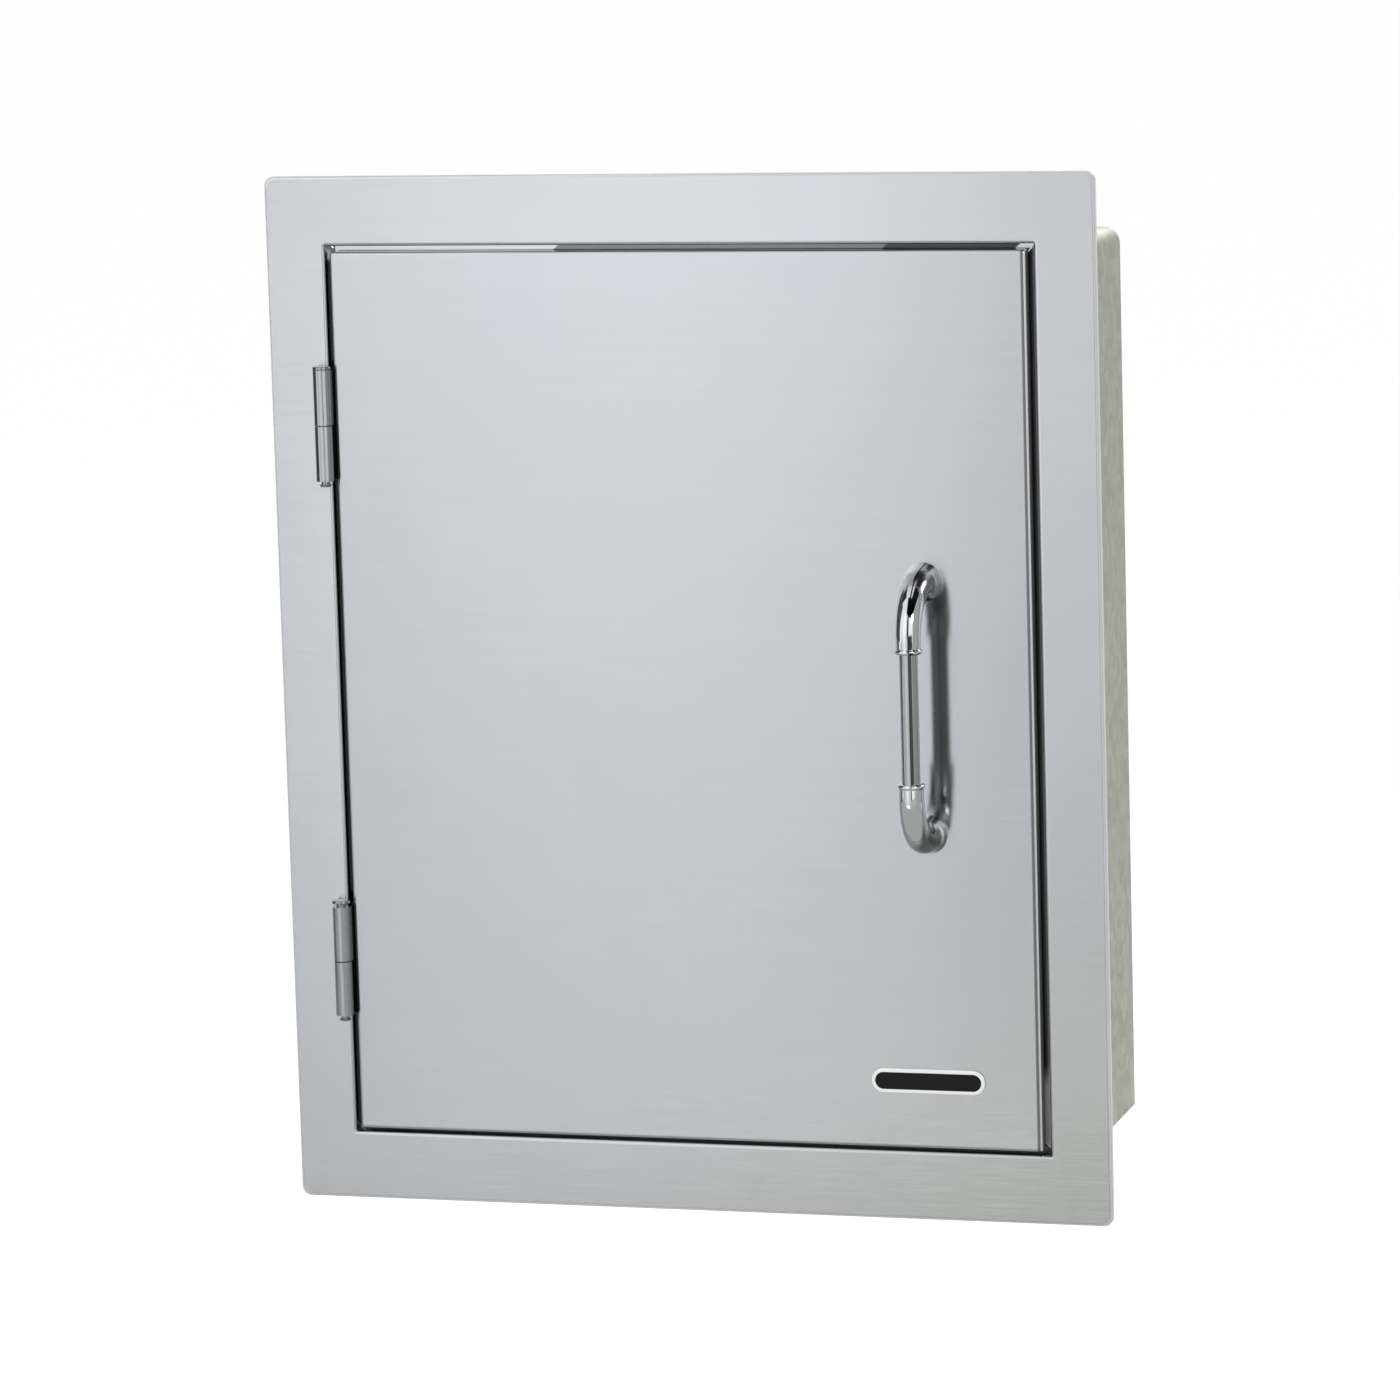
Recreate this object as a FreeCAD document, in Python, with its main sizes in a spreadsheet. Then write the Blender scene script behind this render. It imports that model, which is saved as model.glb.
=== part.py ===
import FreeCAD, Part
import math
import os
import Sketcher

# Access door for an outdoor kitchen island: a flanged stainless face frame with a
# galvanised sleeve behind it, a thin double-skinned door on two pinned hinges, a chrome
# pull handle and a magnetic catch.
#
# Millimetres, +Z up, +Y into the island. The origin is the centre of the opening on the
# plane where the frame's rim seats against the island's wall. The door opens towards -Y.

V = FreeCAD.Vector
doc = FreeCAD.newDocument("access_door")

# Driving dimensions, in millimetres, with the few counts at the end

SIZES = {
    # face frame
    "frame_width": 431.8,
    "frame_height": 531.0,
    "frame_sheet": 1.2,
    "frame_corner_radius": 5.0,
    "rim_depth": 4.0,
    "bend_radius": 1.6,
    "opening_bend": 2.0,
    "opening_corner_radius": 0.4,
    "flange_side": 31.4,
    "flange_end": 35.5,
    "stop_clearance": 1.5,
    # stop rails round the opening
    "stop_sheet": 1.0,
    "stop_ledge": 14.0,
    "stop_web": 6.0,
    "mitre_gap": 0.2,
    # sleeve behind the frame
    "sleeve_inset_side": 12.9,
    "sleeve_inset_end": 37.0,
    "sleeve_depth": 117.0,
    "sleeve_sheet": 1.0,
    "sleeve_bend": 8.5,
    "sleeve_tab": 10.0,
    "sleeve_tab_inset": 12.0,
    "sleeve_lip_inset": 24.0,
    "notch_clearance": 1.8,
    "floor_flange": 12.0,
    "floor_clearance": 0.1,
    "side_hole_radius": 2.5,
    "side_hole_first": 22.0,
    "side_hole_spacing_deep": 30.0,
    "side_hole_spacing_high": 320.0,
    # door
    "gap_hinge_side": 2.5,
    "gap_latch_side": 4.1,
    "gap_top": 3.0,
    "gap_bottom": 1.7,
    "door_sheet": 1.2,
    "door_corner_radius": 1.5,
    "pan_depth": 7.2,
    "pan_lip": 8.0,
    "liner_sheet": 0.8,
    "liner_margin": 1.5,
    "stiffener_sheet": 1.0,
    "stiffener_width": 44.0,
    "stiffener_flange": 10.0,
    "stiffener_offset": 132.0,
    "stiffener_end_gap": 2.0,
    # hinges
    "hinge_spacing": 278.0,
    "barrel_length": 57.0,
    "barrel_radius": 4.6,
    "barrel_clearance": 0.3,
    "knuckle_gap": 0.4,
    "leaf_sheet": 1.1,
    "frame_leaf_end_gap": 0.3,
    "door_leaf_end_gap": 0.3,
    "pin_radius": 2.5,
    "pin_clearance": 0.05,
    "pin_head_overhang": 0.1,
    "pin_head_height": 1.6,
    "pin_dome": 0.5,
    "pin_neck_radius": 2.1,
    "pin_neck_length": 1.8,
    "pin_tip_radius": 3.0,
    "pin_tip_height": 1.2,
    "upper_pin_lift": 0.2,
    "lower_pin_lift": 1.7,
    "screw_radius": 1.5,
    "screw_head_radius": 2.5,
    "screw_head_height": 1.0,
    "screw_point": 1.5,
    "screw_clearance": 0.05,
    "frame_screw_length": 7.0,
    "door_screw_length": 7.0,
    "frame_screw_depth": 5.6,
    "door_screw_depth": 4.3,
    "leaf_screw_spacing": 20.0,
    # handle
    "handle_inset": 55.7,
    "handle_drop": 2.8,
    "handle_spacing": 128.0,
    "handle_standoff": 32.1,
    "foot_radius": 9.8,
    "elbow_radius": 6.0,
    "elbow_bend": 24.6,
    "flare_length": 16.0,
    "collar_rise": 0.9,
    "collar_length": 2.9,
    "rod_radius": 4.6,
    "rod_visible": 64.8,
    "rod_socket": 10.0,
    "rod_clearance": 0.05,
    "handle_screw_radius": 2.5,
    "handle_screw_clearance": 0.1,
    "handle_screw_bite": 11.0,
    "handle_head_radius": 4.6,
    "handle_head_height": 2.8,
    "washer_radius": 6.0,
    "washer_sheet": 1.0,
    "spacer_radius": 5.0,
    "backing_width": 28.0,
    "backing_overhang": 16.0,
    "backing_sheet": 2.0,
    # badge
    "badge_inset_side": 58.2,
    "badge_inset_bottom": 34.8,
    "badge_length": 59.0,
    "badge_height": 12.6,
    "badge_sheet": 1.3,
    "badge_rim": 1.9,
    "badge_recess": 0.6,
    "badge_inlay": 0.4,
    "badge_tape": 0.3,
    "badge_tape_margin": 0.8,
    # magnetic catch
    "catch_clearance": 0.3,
    "catch_strike_gap": 0.2,
    "catch_sheet": 1.2,
    "catch_bracket_foot": 11.0,
    "catch_bracket_length": 50.0,
    "catch_width": 13.5,
    "catch_depth": 14.0,
    "catch_length": 44.0,
    "catch_pole_stand": 0.8,
    "magnet_width": 6.0,
    "magnet_depth": 8.0,
    "magnet_length": 30.0,
    "pole_sheet": 1.2,
    "magnet_clearance": 0.1,
    "catch_screw_spacing": 37.0,
    "catch_screw_radius": 1.5,
    "catch_screw_head_radius": 2.6,
    "catch_screw_head_height": 1.6,
    "strike_sheet": 1.0,
    "strike_width": 15.0,
    "strike_length": 64.0,
    "strike_rivet_spacing": 54.0,
    "rivet_radius": 1.6,
    "rivet_head_radius": 3.0,
    "rivet_head_height": 0.9,
    # rubber buffers
    "buffer_radius": 3.6,
    "buffer_gap": 0.3,
    "buffer_inset": 4.7,
    "buffer_from_corner": 30.0,
}

LEAF_SCREWS = 3
ARC_SECTIONS = 6
STRAIGHT = 1e-4
SAME_PLACE = 0.01
SMALLEST_CUT = 1e-6

sheet = doc.addObject("Spreadsheet::Sheet", "sizes")
for row, (alias, value) in enumerate(SIZES.items(), start=1):
    sheet.set(f"A{row}", alias)
    sheet.set(f"B{row}", str(value))
    sheet.setAlias(f"B{row}", alias)
doc.recompute()


def size(name):
    """Formula for one driving dimension."""
    return f"sizes.{name}"


# Shared places, as formulas of the driving dimensions

FRONT = "(-sizes.rim_depth)"
FLANGE_BACK = f"({FRONT} + sizes.frame_sheet)"
REVEAL = "(sizes.pan_depth + sizes.liner_sheet + sizes.stop_clearance)"
LEDGE_FRONT = f"({FRONT} + {REVEAL})"
LEDGE_BACK = f"({LEDGE_FRONT} + sizes.stop_sheet)"
SLEEVE_BACK = f"({FRONT} + sizes.sleeve_depth)"
HALF_WIDTH = "(sizes.frame_width / 2)"
HALF_HEIGHT = "(sizes.frame_height / 2)"
OPEN_X = f"({HALF_WIDTH} - sizes.flange_side)"
OPEN_Z = f"({HALF_HEIGHT} - sizes.flange_end)"
RETURN_X = f"({OPEN_X} + sizes.frame_sheet)"
RETURN_Z = f"({OPEN_Z} + sizes.frame_sheet)"
LEDGE_X = f"({OPEN_X} - sizes.stop_ledge)"
SLEEVE_X = f"({HALF_WIDTH} - sizes.sleeve_inset_side)"
SLEEVE_Z = f"({HALF_HEIGHT} - sizes.sleeve_inset_end)"
SLEEVE_IN_X = f"({SLEEVE_X} - sizes.sleeve_sheet)"
SLEEVE_IN_Z = f"({SLEEVE_Z} - sizes.sleeve_sheet)"
LIP_X = f"({OPEN_X} - sizes.sleeve_lip_inset)"

DOOR_LEFT = f"(sizes.gap_hinge_side - {OPEN_X})"
DOOR_RIGHT = f"({OPEN_X} - sizes.gap_latch_side)"
DOOR_TOP = f"({OPEN_Z} - sizes.gap_top)"
DOOR_BOTTOM = f"(sizes.gap_bottom - {OPEN_Z})"
SKIN_BACK = f"({FRONT} + sizes.door_sheet)"
PAN_BACK = f"({FRONT} + sizes.pan_depth)"
LIP_FRONT = f"({PAN_BACK} - sizes.door_sheet)"
LINER_BACK = f"({PAN_BACK} + sizes.liner_sheet)"

HINGE_X = f"({DOOR_LEFT} - sizes.barrel_radius)"
HINGE_Y = f"({FRONT} - sizes.barrel_radius - sizes.barrel_clearance)"
HALF_BARREL = "(sizes.barrel_length / 2)"
HALF_GAP = "(sizes.knuckle_gap / 2)"
FRAME_SCREW_Y = f"({FRONT} + sizes.frame_screw_depth)"
DOOR_SCREW_Y = f"({FRONT} + sizes.door_screw_depth)"
SCREW_PITCH = size("leaf_screw_spacing")

HANDLE_X = f"({DOOR_RIGHT} - sizes.handle_inset)"
HANDLE_Z = "(-sizes.handle_drop)"
HALF_HANDLE = "(sizes.handle_spacing / 2)"
HALF_ROD = "(sizes.rod_visible / 2)"
HANDLE_ENDS = [f"({HANDLE_Z} + {HALF_HANDLE})", f"({HANDLE_Z} - {HALF_HANDLE})"]
HANDLE_HOLE = "(sizes.handle_screw_radius + sizes.handle_screw_clearance)"

CATCH_RIGHT = f"({LEDGE_X} - sizes.catch_clearance)"
CATCH_LEFT = f"({CATCH_RIGHT} - sizes.catch_width)"
CATCH_MID = f"(({CATCH_LEFT} + {CATCH_RIGHT}) / 2)"
STRIKE_BACK = f"({LINER_BACK} + sizes.strike_sheet)"
POLE_FRONT = f"({STRIKE_BACK} + sizes.catch_strike_gap)"
CATCH_FRONT = f"({POLE_FRONT} + sizes.catch_pole_stand)"
CATCH_BACK = f"({CATCH_FRONT} + sizes.catch_depth)"
MAGNET_BACK = f"({CATCH_FRONT} + sizes.magnet_depth)"
HALF_MAGNET = "(sizes.magnet_width / 2)"
HALF_MAGNET_LENGTH = "(sizes.magnet_length / 2)"
CATCH_SCREWS = ["(sizes.catch_screw_spacing / 2)", "(-sizes.catch_screw_spacing / 2)"]
STRIKE_RIVETS = ["(sizes.strike_rivet_spacing / 2)", "(-sizes.strike_rivet_spacing / 2)"]

HINGES = {"upper": "(sizes.hinge_spacing / 2)", "lower": "(-sizes.hinge_spacing / 2)"}

pieces = []
cuts = []


def new_body(name):
    """A body whose label is the name of the piece."""
    body = doc.addObject("PartDesign::Body", name)
    body.Label = name
    pieces.append(body)
    return body


def origin_feature(body, role):
    return next(item for item in body.Origin.OriginFeatures if item.Role == role)


def new_sketch(body, plane, offset):
    """A sketch on an origin plane, moved by three formulas in the sketch's own axes."""
    sketch = body.newObject("Sketcher::SketchObject", body.Name + "_sketch")
    sketch.AttachmentSupport = [(origin_feature(body, plane), "")]
    sketch.MapMode = "FlatFace"
    for axis, formula in zip("xyz", offset):
        sketch.setExpression("AttachmentOffset.Base." + axis, formula)
    return sketch


def drive(sketch, constraint, formula):
    """Add one constraint and bind its value to a formula."""
    index = sketch.addConstraint(constraint)
    name = f"size_{index}"
    sketch.renameConstraint(index, name)
    sketch.setExpression("Constraints." + name, formula)


def value(sketch, formula):
    return float(sketch.evalExpression(formula))


def place_point(sketch, geometry, end, point):
    """Hold one point of the sketch at two formulas from the sketch's origin."""
    for kind, formula in zip(("DistanceX", "DistanceY"), point):
        here = value(sketch, formula)
        drive(sketch, Sketcher.Constraint(kind, -1, 1, geometry, end, here), formula)


def polygon(sketch, points):
    """A closed outline through points, each a pair of formulas."""
    corners = [V(value(sketch, across), value(sketch, up), 0) for across, up in points]
    count = len(corners)
    first = sketch.GeometryCount
    for index in range(count):
        sketch.addGeometry(Part.LineSegment(corners[index], corners[(index + 1) % count]))
    for index in range(count):
        here = first + index
        following = first + (index + 1) % count
        sketch.addConstraint(Sketcher.Constraint("Coincident", here, 2, following, 1))
        place_point(sketch, here, 1, points[index])


def rectangle(sketch, left, bottom, right, top):
    polygon(sketch, [(left, bottom), (right, bottom), (right, top), (left, top)])


def circle(sketch, across, up, radius):
    centre = V(value(sketch, across), value(sketch, up), 0)
    start_radius = value(sketch, radius)
    index = sketch.addGeometry(Part.Circle(centre, V(0, 0, 1), start_radius))
    drive(sketch, Sketcher.Constraint("Radius", index, start_radius), radius)
    place_point(sketch, index, 3, (across, up))


def stadium(sketch, across, up, length, height):
    """A slot outline: two straight sides joined by half circles."""
    middle = (value(sketch, across), value(sketch, up))
    radius = value(sketch, height) / 2
    reach = value(sketch, length) / 2 - radius
    ends = []
    for side, start in ((1, -math.pi / 2), (-1, math.pi / 2)):
        centre = V(middle[0] + side * reach, middle[1], 0)
        arc = Part.ArcOfCircle(Part.Circle(centre, V(0, 0, 1), radius), start, start + math.pi)
        ends.append(sketch.addGeometry(arc))
    lines = []
    for side in (1, -1):
        level = middle[1] + side * radius
        near = V(middle[0] + side * reach, level, 0)
        far = V(middle[0] - side * reach, level, 0)
        lines.append(sketch.addGeometry(Part.LineSegment(near, far)))
    order = [ends[0], lines[0], ends[1], lines[1]]
    for index in range(4):
        following = order[(index + 1) % 4]
        sketch.addConstraint(Sketcher.Constraint("Tangent", order[index], 2, following, 1))
    drive(sketch, Sketcher.Constraint("Radius", ends[0], radius), f"({height}) / 2")
    for side, index in ((1, ends[0]), (-1, ends[1])):
        place_x = f"{across} + {side} * (({length}) - ({height})) / 2"
        here = value(sketch, place_x)
        drive(sketch, Sketcher.Constraint("DistanceX", -1, 1, index, 3, here), place_x)
    drive(sketch, Sketcher.Constraint("DistanceY", -1, 1, ends[0], 3, middle[1]), up)


PLANE_OFFSETS = {
    "XY_Plane": lambda start: ("0", "0", start),
    "XZ_Plane": lambda start: ("0", "0", f"-({start})"),
    "YZ_Plane": lambda start: ("0", "0", start),
}


def extrude(body, plane, start, end, outline, cut=False):
    """Pad or cut an outline from start to end along the plane's row axis."""
    sketch = new_sketch(body, plane, PLANE_OFFSETS[plane](start))
    outline(sketch)
    kind = "PartDesign::Pocket" if cut else "PartDesign::Pad"
    feature = body.newObject(kind, body.Name + ("_cut" if cut else "_pad"))
    feature.Profile = sketch
    feature.setExpression("Length", f"({end}) - ({start})")
    feature.Reversed = (plane == "XZ_Plane") != cut
    if cut:
        cuts.append(feature)
    return feature


def turn(body, offset, outline, cut=False, plane="XY_Plane", axis="H_Axis"):
    """Revolve or groove an outline about one axis of its own sketch."""
    sketch = new_sketch(body, plane, offset)
    outline(sketch)
    kind = "PartDesign::Groove" if cut else "PartDesign::Revolution"
    feature = body.newObject(kind, body.Name + ("_groove" if cut else "_turned"))
    feature.Profile = sketch
    feature.ReferenceAxis = (sketch, [axis])
    feature.Angle = 360
    if cut:
        cuts.append(feature)
    return feature


def repeat(body, feature, axis, length, count):
    """Copies of one feature in a row along an origin axis."""
    pattern = body.newObject("PartDesign::LinearPattern", body.Name + "_row")
    pattern.Originals = [feature]
    pattern.Direction = (origin_feature(body, axis), [""])
    pattern.setExpression("Length", length)
    pattern.Occurrences = count
    body.Tip = pattern
    return pattern


def round_edges(body, radius, wanted):
    """Fillet the edges of the body's tip that the test accepts."""
    doc.recompute()
    tip = body.Tip
    names = [f"Edge{i}" for i, edge in enumerate(tip.Shape.Edges, start=1) if wanted(edge)]
    fillet = body.newObject("PartDesign::Fillet", body.Name + "_bends")
    fillet.Base = (tip, names)
    fillet.setExpression("Radius", radius)
    return fillet


def along(edge, axis):
    """True for a straight edge parallel to one axis."""
    box = edge.BoundBox
    spans = {"x": box.XLength, "y": box.YLength, "z": box.ZLength}
    length = spans.pop(axis)
    return length > STRAIGHT and max(spans.values()) < STRAIGHT


def same(first, second):
    return abs(first - second) < SAME_PLACE


def flat_at_y(edge, level):
    """True for an edge that lies in the plane Y = level."""
    return same(edge.BoundBox.YMin, level) and same(edge.BoundBox.YMax, level)


def within(edge, half_width, half_height):
    """True for an edge inside a centred rectangle in XZ."""
    box = edge.BoundBox
    reach_x = max(abs(box.XMin), abs(box.XMax))
    reach_z = max(abs(box.ZMin), abs(box.ZMax))
    return reach_x < half_width + SAME_PLACE and reach_z < half_height + SAME_PLACE


def number(formula):
    return float(sheet.evalExpression(formula.replace("sizes.", "")))


# Face frame: flange, rim round the outside and return round the opening


def centred(half_width, half_height):
    """Outline of a rectangle centred on the opening."""
    return lambda s: rectangle(
        s, f"-({half_width})", f"-({half_height})", half_width, half_height
    )


def face_frame():
    body = new_body("face_frame")
    extrude(body, "XZ_Plane", FRONT, "0", centred(HALF_WIDTH, HALF_HEIGHT))
    round_edges(body, size("frame_corner_radius"), lambda e: along(e, "y"))
    front = number(FRONT)
    round_edges(body, size("bend_radius"), lambda e: flat_at_y(e, front))
    inside_w = f"({HALF_WIDTH} - sizes.frame_sheet)"
    inside_h = f"({HALF_HEIGHT} - sizes.frame_sheet)"
    extrude(body, "XZ_Plane", FLANGE_BACK, "0", centred(inside_w, inside_h), cut=True)
    extrude(body, "XZ_Plane", FLANGE_BACK, LEDGE_FRONT, centred(RETURN_X, RETURN_Z))
    extrude(body, "XZ_Plane", FRONT, LEDGE_FRONT, centred(OPEN_X, OPEN_Z), cut=True)
    half_x = number(OPEN_X)
    half_z = number(OPEN_Z)
    corner = size("opening_corner_radius")
    round_edges(body, corner, lambda e: along(e, "y") and within(e, half_x, half_z))
    round_edges(
        body, size("opening_bend"), lambda e: flat_at_y(e, front) and within(e, half_x, half_z)
    )

    def screw_holes(sketch):
        for centre in HINGES.values():
            for step in range(LEAF_SCREWS):
                up = f"{centre} + ({step} - {LEAF_SCREWS - 1} / 2) * {SCREW_PITCH}"
                circle(sketch, FRAME_SCREW_Y, up, "sizes.screw_radius + sizes.screw_clearance")

    extrude(body, "YZ_Plane", f"-({RETURN_X})", f"-({OPEN_X})", screw_holes, cut=True)
    return body


# Stop rails: angle strips behind the opening's return, mitred at the corners


def stop_rail(name, half_along, half_across, quarter_turns):
    """One rail, drawn along X above the opening and turned about Y to its side."""
    body = new_body(name)
    outer = f"({half_across} + sizes.frame_sheet + sizes.stop_sheet)"
    web_inner = f"({half_across} + sizes.frame_sheet)"
    inner = f"({half_across} - sizes.stop_ledge)"
    reach = f"({half_along} - {half_across} - sizes.mitre_gap)"

    def strip(low):
        def outline(sketch):
            low_end = f"({low} + {reach})"
            high_end = f"({outer} + {reach})"
            points = [(f"-{low_end}", low), (low_end, low), (high_end, outer)]
            polygon(sketch, points + [(f"-{high_end}", outer)])

        return outline

    extrude(body, "XZ_Plane", LEDGE_FRONT, LEDGE_BACK, strip(inner))
    web_front = f"({LEDGE_FRONT} - sizes.stop_web)"
    extrude(body, "XZ_Plane", web_front, LEDGE_FRONT, strip(web_inner))
    if name == "stop_rail_hinge_side":

        def screw_holes(sketch):
            for centre in HINGES.values():
                for step in range(LEAF_SCREWS):
                    up = f"-({centre} + ({step} - {LEAF_SCREWS - 1} / 2) * {SCREW_PITCH})"
                    radius = "sizes.screw_radius + sizes.screw_clearance"
                    circle(sketch, up, FRAME_SCREW_Y, radius)

        extrude(body, "XY_Plane", web_inner, outer, screw_holes, cut=True)
    body.Placement = FreeCAD.Placement(V(0, 0, 0), FreeCAD.Rotation(V(0, 1, 0), 90 * quarter_turns))
    return body


# Sleeve: an inverted U of galvanised sheet and a separate floor


def sleeve_wrap():
    body = new_body("sleeve_wrap")
    half = [
        (SLEEVE_X, f"(-{SLEEVE_Z})"),
        (SLEEVE_X, SLEEVE_Z),
    ]
    inner = [
        (SLEEVE_IN_X, SLEEVE_IN_Z),
        (SLEEVE_IN_X, f"(-{SLEEVE_Z})"),
    ]
    points = half + [(f"-{across}", up) for across, up in reversed(half)]
    points += [(f"-{across}", up) for across, up in reversed(inner)] + inner
    extrude(body, "XZ_Plane", FLANGE_BACK, SLEEVE_BACK, lambda s: polygon(s, points))

    def bend(corner_x, corner_z, radius):
        across = number(corner_x)
        up = number(corner_z)
        round_edges(
            body,
            radius,
            lambda e: along(e, "y")
            and same(e.BoundBox.ZMax, up)
            and same(abs(e.BoundBox.XMax), across),
        )

    bend(SLEEVE_IN_X, SLEEVE_IN_Z, "(sizes.sleeve_bend - sizes.sleeve_sheet)")
    bend(SLEEVE_X, SLEEVE_Z, size("sleeve_bend"))
    notch_x = f"({RETURN_X} + sizes.stop_sheet + sizes.notch_clearance)"
    notch = lambda s: rectangle(s, f"-{notch_x}", "0", notch_x, f"{SLEEVE_Z} + sizes.sleeve_sheet")
    extrude(body, "XZ_Plane", FLANGE_BACK, LEDGE_BACK, notch, cut=True)
    tab_in = f"({SLEEVE_X} - sizes.sleeve_tab)"
    tab_z = f"({SLEEVE_Z} - sizes.sleeve_tab_inset)"
    tab_back = f"({FLANGE_BACK} + sizes.sleeve_sheet)"
    for left, right in ((f"-{SLEEVE_X}", f"-{tab_in}"), (tab_in, SLEEVE_X)):
        tab = lambda s, a=left, b=right: rectangle(s, a, f"-{tab_z}", b, tab_z)
        extrude(body, "XZ_Plane", FLANGE_BACK, tab_back, tab)
    lip_low = f"({SLEEVE_Z} - sizes.sleeve_tab)"
    lip = lambda s: rectangle(s, f"-{LIP_X}", lip_low, LIP_X, SLEEVE_Z)
    extrude(body, "XZ_Plane", LEDGE_BACK, f"{LEDGE_BACK} + sizes.sleeve_sheet", lip)

    def side_holes(sketch):
        for step in (0, 1):
            deep = f"{FRONT} + sizes.side_hole_first + {step} * sizes.side_hole_spacing_deep"
            for side in (-1, 1):
                up = f"{side} * sizes.side_hole_spacing_high / 2"
                circle(sketch, deep, up, size("side_hole_radius"))

    for left, right in ((f"-{SLEEVE_X}", f"-{SLEEVE_IN_X}"), (SLEEVE_IN_X, SLEEVE_X)):
        extrude(body, "YZ_Plane", left, right, side_holes, cut=True)
    return body


def sleeve_floor():
    body = new_body("sleeve_floor")
    wide = f"({SLEEVE_IN_X} - sizes.floor_clearance)"
    wall = f"({wide} - sizes.sleeve_sheet)"
    low = f"(-{SLEEVE_Z})"
    top = f"({low} + sizes.sleeve_sheet)"
    high = f"({low} + sizes.floor_flange)"
    half = [(wide, low), (wide, high), (wall, high), (wall, top)]
    mirrored = [(f"-{across}", up) for across, up in reversed(half)]
    extrude(body, "XZ_Plane", LEDGE_BACK, SLEEVE_BACK, lambda s: polygon(s, half + mirrored))
    lip_high = f"({low} + sizes.sleeve_tab)"
    lip = lambda s: rectangle(s, f"-{LIP_X}", low, LIP_X, lip_high)
    extrude(body, "XZ_Plane", LEDGE_BACK, f"{LEDGE_BACK} + sizes.sleeve_sheet", lip)
    return body


# Hinges: each leaf is a plate with half of the barrel, on one headed pin


def screw_profile(sketch, length, clearance):
    """Half of a countersunk screw along +X, from its head's face."""
    shank = f"(sizes.screw_radius + {clearance})"
    head = f"(sizes.screw_head_radius + {clearance})"
    points = [("0", "0"), ("0", head), (size("screw_head_height"), shank)]
    points.append((f"{length} - sizes.screw_point", shank))
    polygon(sketch, points + [(length, "0")])


def mirrored_screw_profile(sketch, length, clearance):
    """The same half outline along -X."""
    shank = f"(sizes.screw_radius + {clearance})"
    head = f"(sizes.screw_head_radius + {clearance})"
    points = [("0", "0"), ("0", head), ("-sizes.screw_head_height", shank)]
    points.append((f"-({length} - sizes.screw_point)", shank))
    polygon(sketch, points + [(f"-{length}", "0")])


FRAME_LEAF_X = f"(-{OPEN_X} + sizes.leaf_sheet)"
DOOR_LEAF_X = f"({DOOR_LEFT} - sizes.leaf_sheet)"


def hinge_leaf(name, centre, upper_half, inner_x, outer_x, end_y, screw_y, outline, length):
    """A leaf with its knuckle: upper_half says which half of the barrel it holds."""
    body = new_body(name)
    top = f"({centre} + {HALF_BARREL})"
    bottom = f"({centre} - {HALF_BARREL})"
    own = (f"({centre} + {HALF_GAP})", top) if upper_half else (bottom, f"({centre} - {HALF_GAP})")
    start_y = FRONT
    plate = lambda s: rectangle(s, inner_x, start_y, outer_x, end_y)
    extrude(body, "XY_Plane", bottom, top, plate)
    neck = lambda s: rectangle(s, inner_x, HINGE_Y, outer_x, start_y)
    extrude(body, "XY_Plane", own[0], own[1], neck)
    barrel = lambda s: circle(s, HINGE_X, HINGE_Y, size("barrel_radius"))
    extrude(body, "XY_Plane", own[0], own[1], barrel)
    bore = lambda s: circle(s, HINGE_X, HINGE_Y, "sizes.pin_radius + sizes.pin_clearance")
    extrude(body, "XY_Plane", own[0], own[1], bore, cut=True)
    face_x = outer_x if outline is mirrored_screw_profile else inner_x
    first = f"{centre} - {LEAF_SCREWS - 1} / 2 * {SCREW_PITCH}"
    clearance = size("screw_clearance")
    hole = turn(
        body, (face_x, screw_y, first), lambda s: outline(s, length, clearance), cut=True
    )
    repeat(body, hole, "Z_Axis", f"{LEAF_SCREWS - 1} * {SCREW_PITCH}", LEAF_SCREWS)
    return body


def hinge_pin(name, centre, lift):
    """A headed pin with a necked, flared tip, turned about the hinge line."""
    body = new_body(name)
    under_head = f"({HALF_BARREL} + {lift})"
    head_top = f"({under_head} + sizes.pin_head_height)"
    head_radius = "(sizes.barrel_radius + sizes.pin_head_overhang)"
    neck_low = f"(-{HALF_BARREL} - sizes.pin_neck_length)"
    tip_low = f"({neck_low} - sizes.pin_tip_height)"
    points = [
        ("0", tip_low),
        ("sizes.pin_neck_radius", tip_low),
        ("sizes.pin_tip_radius", f"{tip_low} + sizes.pin_dome"),
        ("sizes.pin_tip_radius", neck_low),
        ("sizes.pin_neck_radius", neck_low),
        ("sizes.pin_neck_radius", f"-{HALF_BARREL}"),
        ("sizes.pin_radius", f"-{HALF_BARREL}"),
        ("sizes.pin_radius", under_head),
        (head_radius, under_head),
        (head_radius, f"{head_top} - sizes.pin_dome"),
        ("sizes.pin_radius", head_top),
        ("0", head_top),
    ]
    offset = (HINGE_X, centre, f"-({HINGE_Y})")
    turn(body, offset, lambda s: polygon(s, points), plane="XZ_Plane", axis="V_Axis")
    return body


def hinge_screws(name, face_x, screw_y, outline, length):
    """All the countersunk screws of one side of both hinges."""
    body = new_body(name)
    for centre in HINGES.values():
        first = f"{centre} - {LEAF_SCREWS - 1} / 2 * {SCREW_PITCH}"
        screw = turn(body, (face_x, screw_y, first), lambda s: outline(s, length, "0"))
        repeat(body, screw, "Z_Axis", f"{LEAF_SCREWS - 1} * {SCREW_PITCH}", LEAF_SCREWS)
    return body


# Door: outer pan, inner liner and what lies between them


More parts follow.
